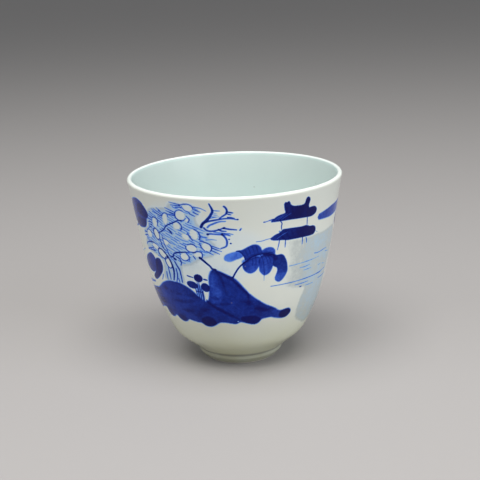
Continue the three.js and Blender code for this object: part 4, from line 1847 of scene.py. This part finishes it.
    def strip_chart(self, column: int, strip: Strip) -> Array:
        """Where a closing strip's face lies in the bake's chart, as its four corners.

        Args:
            column: the face's column, from the middle of the back.
            strip: the strip.

        Returns:
            Four rows of chart coordinates.
        """
        if strip.chart is Chart.HIDDEN:
            left, right = column / COLUMNS, (column + 1) / COLUMNS
            low, high = self.hidden_chart
        else:
            front = self.front_edge <= column < COLUMNS - self.front_edge
            low, high = self.front_chart if front else self.back_chart
            side = column - self.front_edge if front else (column + self.front_edge) % COLUMNS
            left, right = (self.chart_across(c / (2 * self.front_edge)) for c in (side, side + 1))
            if strip.chart is Chart.LIP:
                low, high = high - self.margin, high - self.chart_gap
            else:
                low, high = low + self.chart_gap, low + self.margin
        a, b = low + strip.start * (high - low), low + strip.end * (high - low)
        return np.array([(left, a), (right, a), (right, b), (left, b)])

    @staticmethod
    def report(mesh: Mesh) -> None:
        """Logs the coat's size, and how many of its edges aren't shared by two faces."""
        edges = Counter(key for face in mesh.polygons for key in face.edge_keys)
        open_edges = sum(1 for uses in edges.values() if uses != 2)
        LOG.info("%s: %d points, %d faces, %d edges that aren't shared by two faces", mesh.name,
                 len(mesh.vertices), len(mesh.polygons), open_edges)


@dataclass
class Teacup:
    """The cup: its pieces, their finishes, and the solid model's nodes that they stand for."""

    outline: CupOutline
    hand: HandOfThePotter = HandOfThePotter()
    shop: GlazeShop = field(default_factory=GlazeShop)
    wheel: Wheel = field(default_factory=Wheel)
    fine_step: float = 1.2
    edge_steps: int = 6
    pool_radius: float = 0.9
    well_rings: tuple[float, ...] = (3.0, 6.5)
    ledge: float = 2.0

    def up_and_over(self, inward: float) -> Array:
        """The cup's section up the outside, over the lip and down the inside, set back into the body.

        Args:
            inward: how far it lies under the glaze's face, in millimetres.

        Returns:
            Radius and height of its points, from the foot's corner to the middle of the floor.
        """
        outside = self.outline.outside(self.fine_step)[::-1]
        inside = self.outline.inside(self.fine_step)
        line = np.concatenate([outside, inside[1:]])
        moved = line - normals_of(line) * inward
        moved[-1, 0] = 0.0
        return moved

    def clay_bowl(self) -> Thing:
        """The turned bowl, flat underneath where the foot ring is luted on.

        Returns:
            The piece.
        """
        shape = self.outline
        line = self.up_and_over(shape.glaze)
        line = line[~((line[:, 1] < shape.seat) & (line[:, 0] > shape.ring_inside / 2))]
        seat = [(radius, shape.seat) for radius in (0.0, shape.ring_inside, shape.ring_outside)]
        profile = np.concatenate([seat, line])
        return self.wheel.turn("clay_bowl", profile, BISCUIT.material(self.shop), shape, self.hand)

    def clay_foot(self) -> Thing:
        """The foot ring, bevelled outside, with its bare edges rounded over.

        Returns:
            The piece.
        """
        shape, r, lean = self.outline, self.outline.foot_rounding, math.radians(self.outline.bevel_slope)
        rise = r - shape.clay_edge[1]
        outer = shape.clay_edge[0] + (rise * math.cos(lean) - r) / math.sin(lean)
        edges = []
        for centre, start, end in ((shape.ring_inside + r, 180, 270), (outer, 270, 270 + shape.bevel_slope)):
            turns = np.linspace(start, end, self.edge_steps + 1)
            edges += [np.array([centre, r]) + heading(a) * r for a in turns]
        profile = np.array([(shape.ring_inside, shape.seat), *edges, shape.clay_edge, shape.clay_bend,
                            (shape.ring_outside, shape.seat), (shape.ring_inside + self.ledge, shape.seat),
                            (shape.ring_inside, shape.seat)])
        return self.wheel.turn("clay_foot", profile, bpy.data.materials[BISCUIT.name], shape, self.hand)

    def inner_coat(self) -> Thing:
        """The glaze poured inside, from the lip's crest down.

        Returns:
            The piece.
        """
        shape = self.outline
        face = shape.inside(self.fine_step)
        out = normals_of(face)
        out[0], out[-1] = heading(90), heading(90)
        back = (face - out * shape.glaze)[::-1]
        back[0, 0] = 0.0
        profile = np.concatenate([face, back, face[:1]])
        return self.wheel.turn("inner_coat", profile, INSIDE.material(self.shop), shape, self.hand)

    def well_coat(self) -> Thing:
        """The glaze in the well under the bowl and down the inside of the foot ring, pooled in the corner.

        Returns:
            The piece.
        """
        shape, t = self.outline, self.outline.glaze
        side, top, pool = shape.ring_inside - t, shape.seat - t, self.pool_radius
        corner = np.array([side - pool, top - pool])
        face = [corner + heading(a) * pool for a in np.linspace(90, 0, 9)]
        end_middle = np.array([shape.ring_inside, shape.glaze_line + t])
        end = [end_middle + heading(a) * t for a in np.linspace(180, 270, self.edge_steps)]
        profile = np.array([(0.0, top), *((radius, top) for radius in self.well_rings), *face, *end,
                            (shape.ring_inside, self.ledge), (shape.ring_inside, shape.seat),
                            (5.0, shape.seat), (0.0, shape.seat)])
        return self.wheel.turn("well_coat", profile, WELL.material(self.shop), shape, self.hand)

    def painted_wall(self) -> Thing:
        """The outer glaze with the painting under it."""
        coat = PaintedWall(self.outline, self.hand, Painting())
        return coat.build("painted_wall", OUTSIDE.material(self.shop))

    def build(self) -> None:
        """Builds every piece, puts it under the body, hides the solid model's node that it stands for, and
        logs its size.
        """
        for make, node, slot in (
            (self.clay_bowl, "bowl", "biscuit"), (self.clay_foot, "foot_ring", "biscuit"),
            (self.inner_coat, "inner_glaze", "pale_glaze"), (self.well_coat, "well_glaze", "white_glaze"),
            (self.painted_wall, "outer_glaze", "white_glaze"),
        ):
            piece = make()
            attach(piece, BODY)
            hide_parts(node)
            triangles = sum(len(face.vertices) - 2 for face in piece.data.polygons)
            LOG.info("%s: %d triangles, volume %.1f mm3", piece.name, triangles, volume(piece.data) / MM**3)


def volume(mesh: Mesh) -> float:
    """Volume inside a closed mesh, above zero when its faces point outwards.

    Args:
        mesh: the mesh.

    Returns:
        The volume, in cubic metres.
    """
    mesh.calc_loop_triangles()
    places = np.empty(len(mesh.vertices) * 3)
    mesh.vertices.foreach_get("co", places)
    corners = np.empty(len(mesh.loop_triangles) * 3, int)
    mesh.loop_triangles.foreach_get("vertices", corners)
    a, b, c = np.moveaxis(places.reshape(-1, 3)[corners.reshape(-1, 3)], 1, 0)
    return float((a * np.cross(b, c)).sum() / 6)


# The pool colours are partly pooled glaze and partly painted shade, the lip colours partly a painted
# highlight, and the outer glaze darkens the groove and the foot with painted shade.
OUTSIDE = GlazeFinish("white_glaze", (216, 219, 210), (187, 188, 158), (226, 233, 228), pool_shade_high=0.029,
                      groove_and_foot_shade=0.7, painted=True)
INSIDE = GlazeFinish("pale_glaze", (197, 213, 210), (180, 200, 196), (230, 237, 234), pool_shade_low=0.006,
                     pool_shade_high=0.03, lip_low=0.0634)
WELL = GlazeFinish("well_glaze", (206, 209, 198), (186, 190, 170), (238, 241, 236))
BISCUIT = BiscuitFinish("biscuit", (196, 182, 160), (150, 120, 92))


# Studio -----------------------------------------------------------------------------------------------------


@dataclass(frozen=True)
class SoftLight:
    """A soft rectangular light. Places are in millimetres, power in watts."""

    name: str
    place: tuple[float, float, float]
    towards: tuple[float, float, float]
    width: float
    height: float
    power: float
    colour: Colour = (255, 255, 255)

    def hang(self) -> None:
        """Adds the light to the scene."""
        lamp = bpy.data.lights.new(self.name, "AREA")
        lamp.shape, lamp.size, lamp.size_y = "RECTANGLE", self.width * MM, self.height * MM
        lamp.energy, lamp.color = self.power, tone(self.colour)[:3]
        made = bpy.data.objects.new(self.name, lamp)
        made.location = Vector(self.place) * MM
        made.rotation_euler = (Vector(self.towards) - Vector(self.place)).to_track_quat("-Z", "Y").to_euler()
        bpy.context.scene.collection.objects.link(made)


@dataclass(frozen=True)
class Studio:
    """A pale floor, soft light and the camera."""

    eye: tuple[float, float, float] = (0.0, -328.3, 135.4)
    target: tuple[float, float, float] = (1.08, 0.0, 40.18)
    roll: float = 0.0374
    lens: float = 75.0
    film: float = 36.0
    floor_size: float = 12000.0
    floor_colour: Colour = (166, 163, 162)
    sky_colour: Colour = (226, 228, 230)
    sky_strength: float = 0.36
    floor_roughness: float = 0.7
    lights: tuple[SoftLight, ...] = (
        SoftLight("window", (-30, -250, 760), (0, 0, 40), 760, 620, 7.5, (255, 253, 249)),
        SoftLight("fill", (540, -360, 260), (0, 0, 30), 500, 500, 2.4, (246, 250, 255)),
        SoftLight("side", (-560, -260, 300), (0, 0, 30), 500, 500, 1.0, (250, 252, 255)),
    )

    def camera(self) -> None:
        """Adds the camera and makes it the scene's."""
        eye, target = Vector(self.eye), Vector(self.target)
        ahead = (target - eye).normalized()
        right = ahead.cross(Vector((0, 0, 1))).normalized()
        up = right.cross(ahead)
        c, s = math.cos(self.roll), math.sin(self.roll)
        right, up = right * c - up * s, right * s + up * c
        lens = bpy.data.cameras.new("camera")
        lens.lens, lens.sensor_width, lens.sensor_fit = self.lens, self.film, "HORIZONTAL"
        lens.clip_start, lens.clip_end = 0.01, 20.0
        made = bpy.data.objects.new("camera", lens)
        turn = Matrix((right, up, -ahead)).transposed()
        made.matrix_world = Matrix.Translation(eye * MM) @ turn.to_4x4()
        bpy.context.scene.collection.objects.link(made)
        bpy.context.scene.camera = made

    def floor(self) -> None:
        """Lays the floor, a wide plain sheet just under the cup."""
        half = self.floor_size * MM / 2
        mesh = bpy.data.meshes.new("floor")
        corners = [(-half, -half, 0), (half, -half, 0), (half, half, 0), (-half, half, 0)]
        mesh.from_pydata(corners, [], [(0, 1, 2, 3)])
        finish, graph, shader = fresh_material("floor")
        graph.feed(shader, "Base Color", tone(self.floor_colour))
        graph.feed(shader, "Roughness", self.floor_roughness)
        mesh.materials.append(finish)
        made = bpy.data.objects.new("floor", mesh)
        bpy.context.scene.collection.objects.link(made)

    def build(self) -> None:
        """Sets the floor, the sky, the lights, the tones and the camera."""
        self.floor()
        scene = bpy.context.scene
        world = bpy.data.worlds.new("studio")
        world.use_nodes = True
        sky = world.node_tree.nodes["Background"]
        sky.inputs["Color"].default_value = tone(self.sky_colour)
        sky.inputs["Strength"].default_value = self.sky_strength
        scene.world = world
        scene.view_settings.view_transform = "Standard"
        for light in self.lights:
            light.hang()
        self.camera()


def main() -> None:
    """Builds the cup, with its height and rim radius taken from the solid model, and the studio."""
    logging.basicConfig(level=logging.INFO, format="%(name)s: %(message)s")
    low, high = CAD_BOX
    height = high.z / MM
    rim = (high.x - low.x + high.y - low.y) / 4 / MM
    Teacup(CupOutline(height=height, rim_radius=rim)).build()
    Studio().build()


if __name__ == "__main__":
    main()
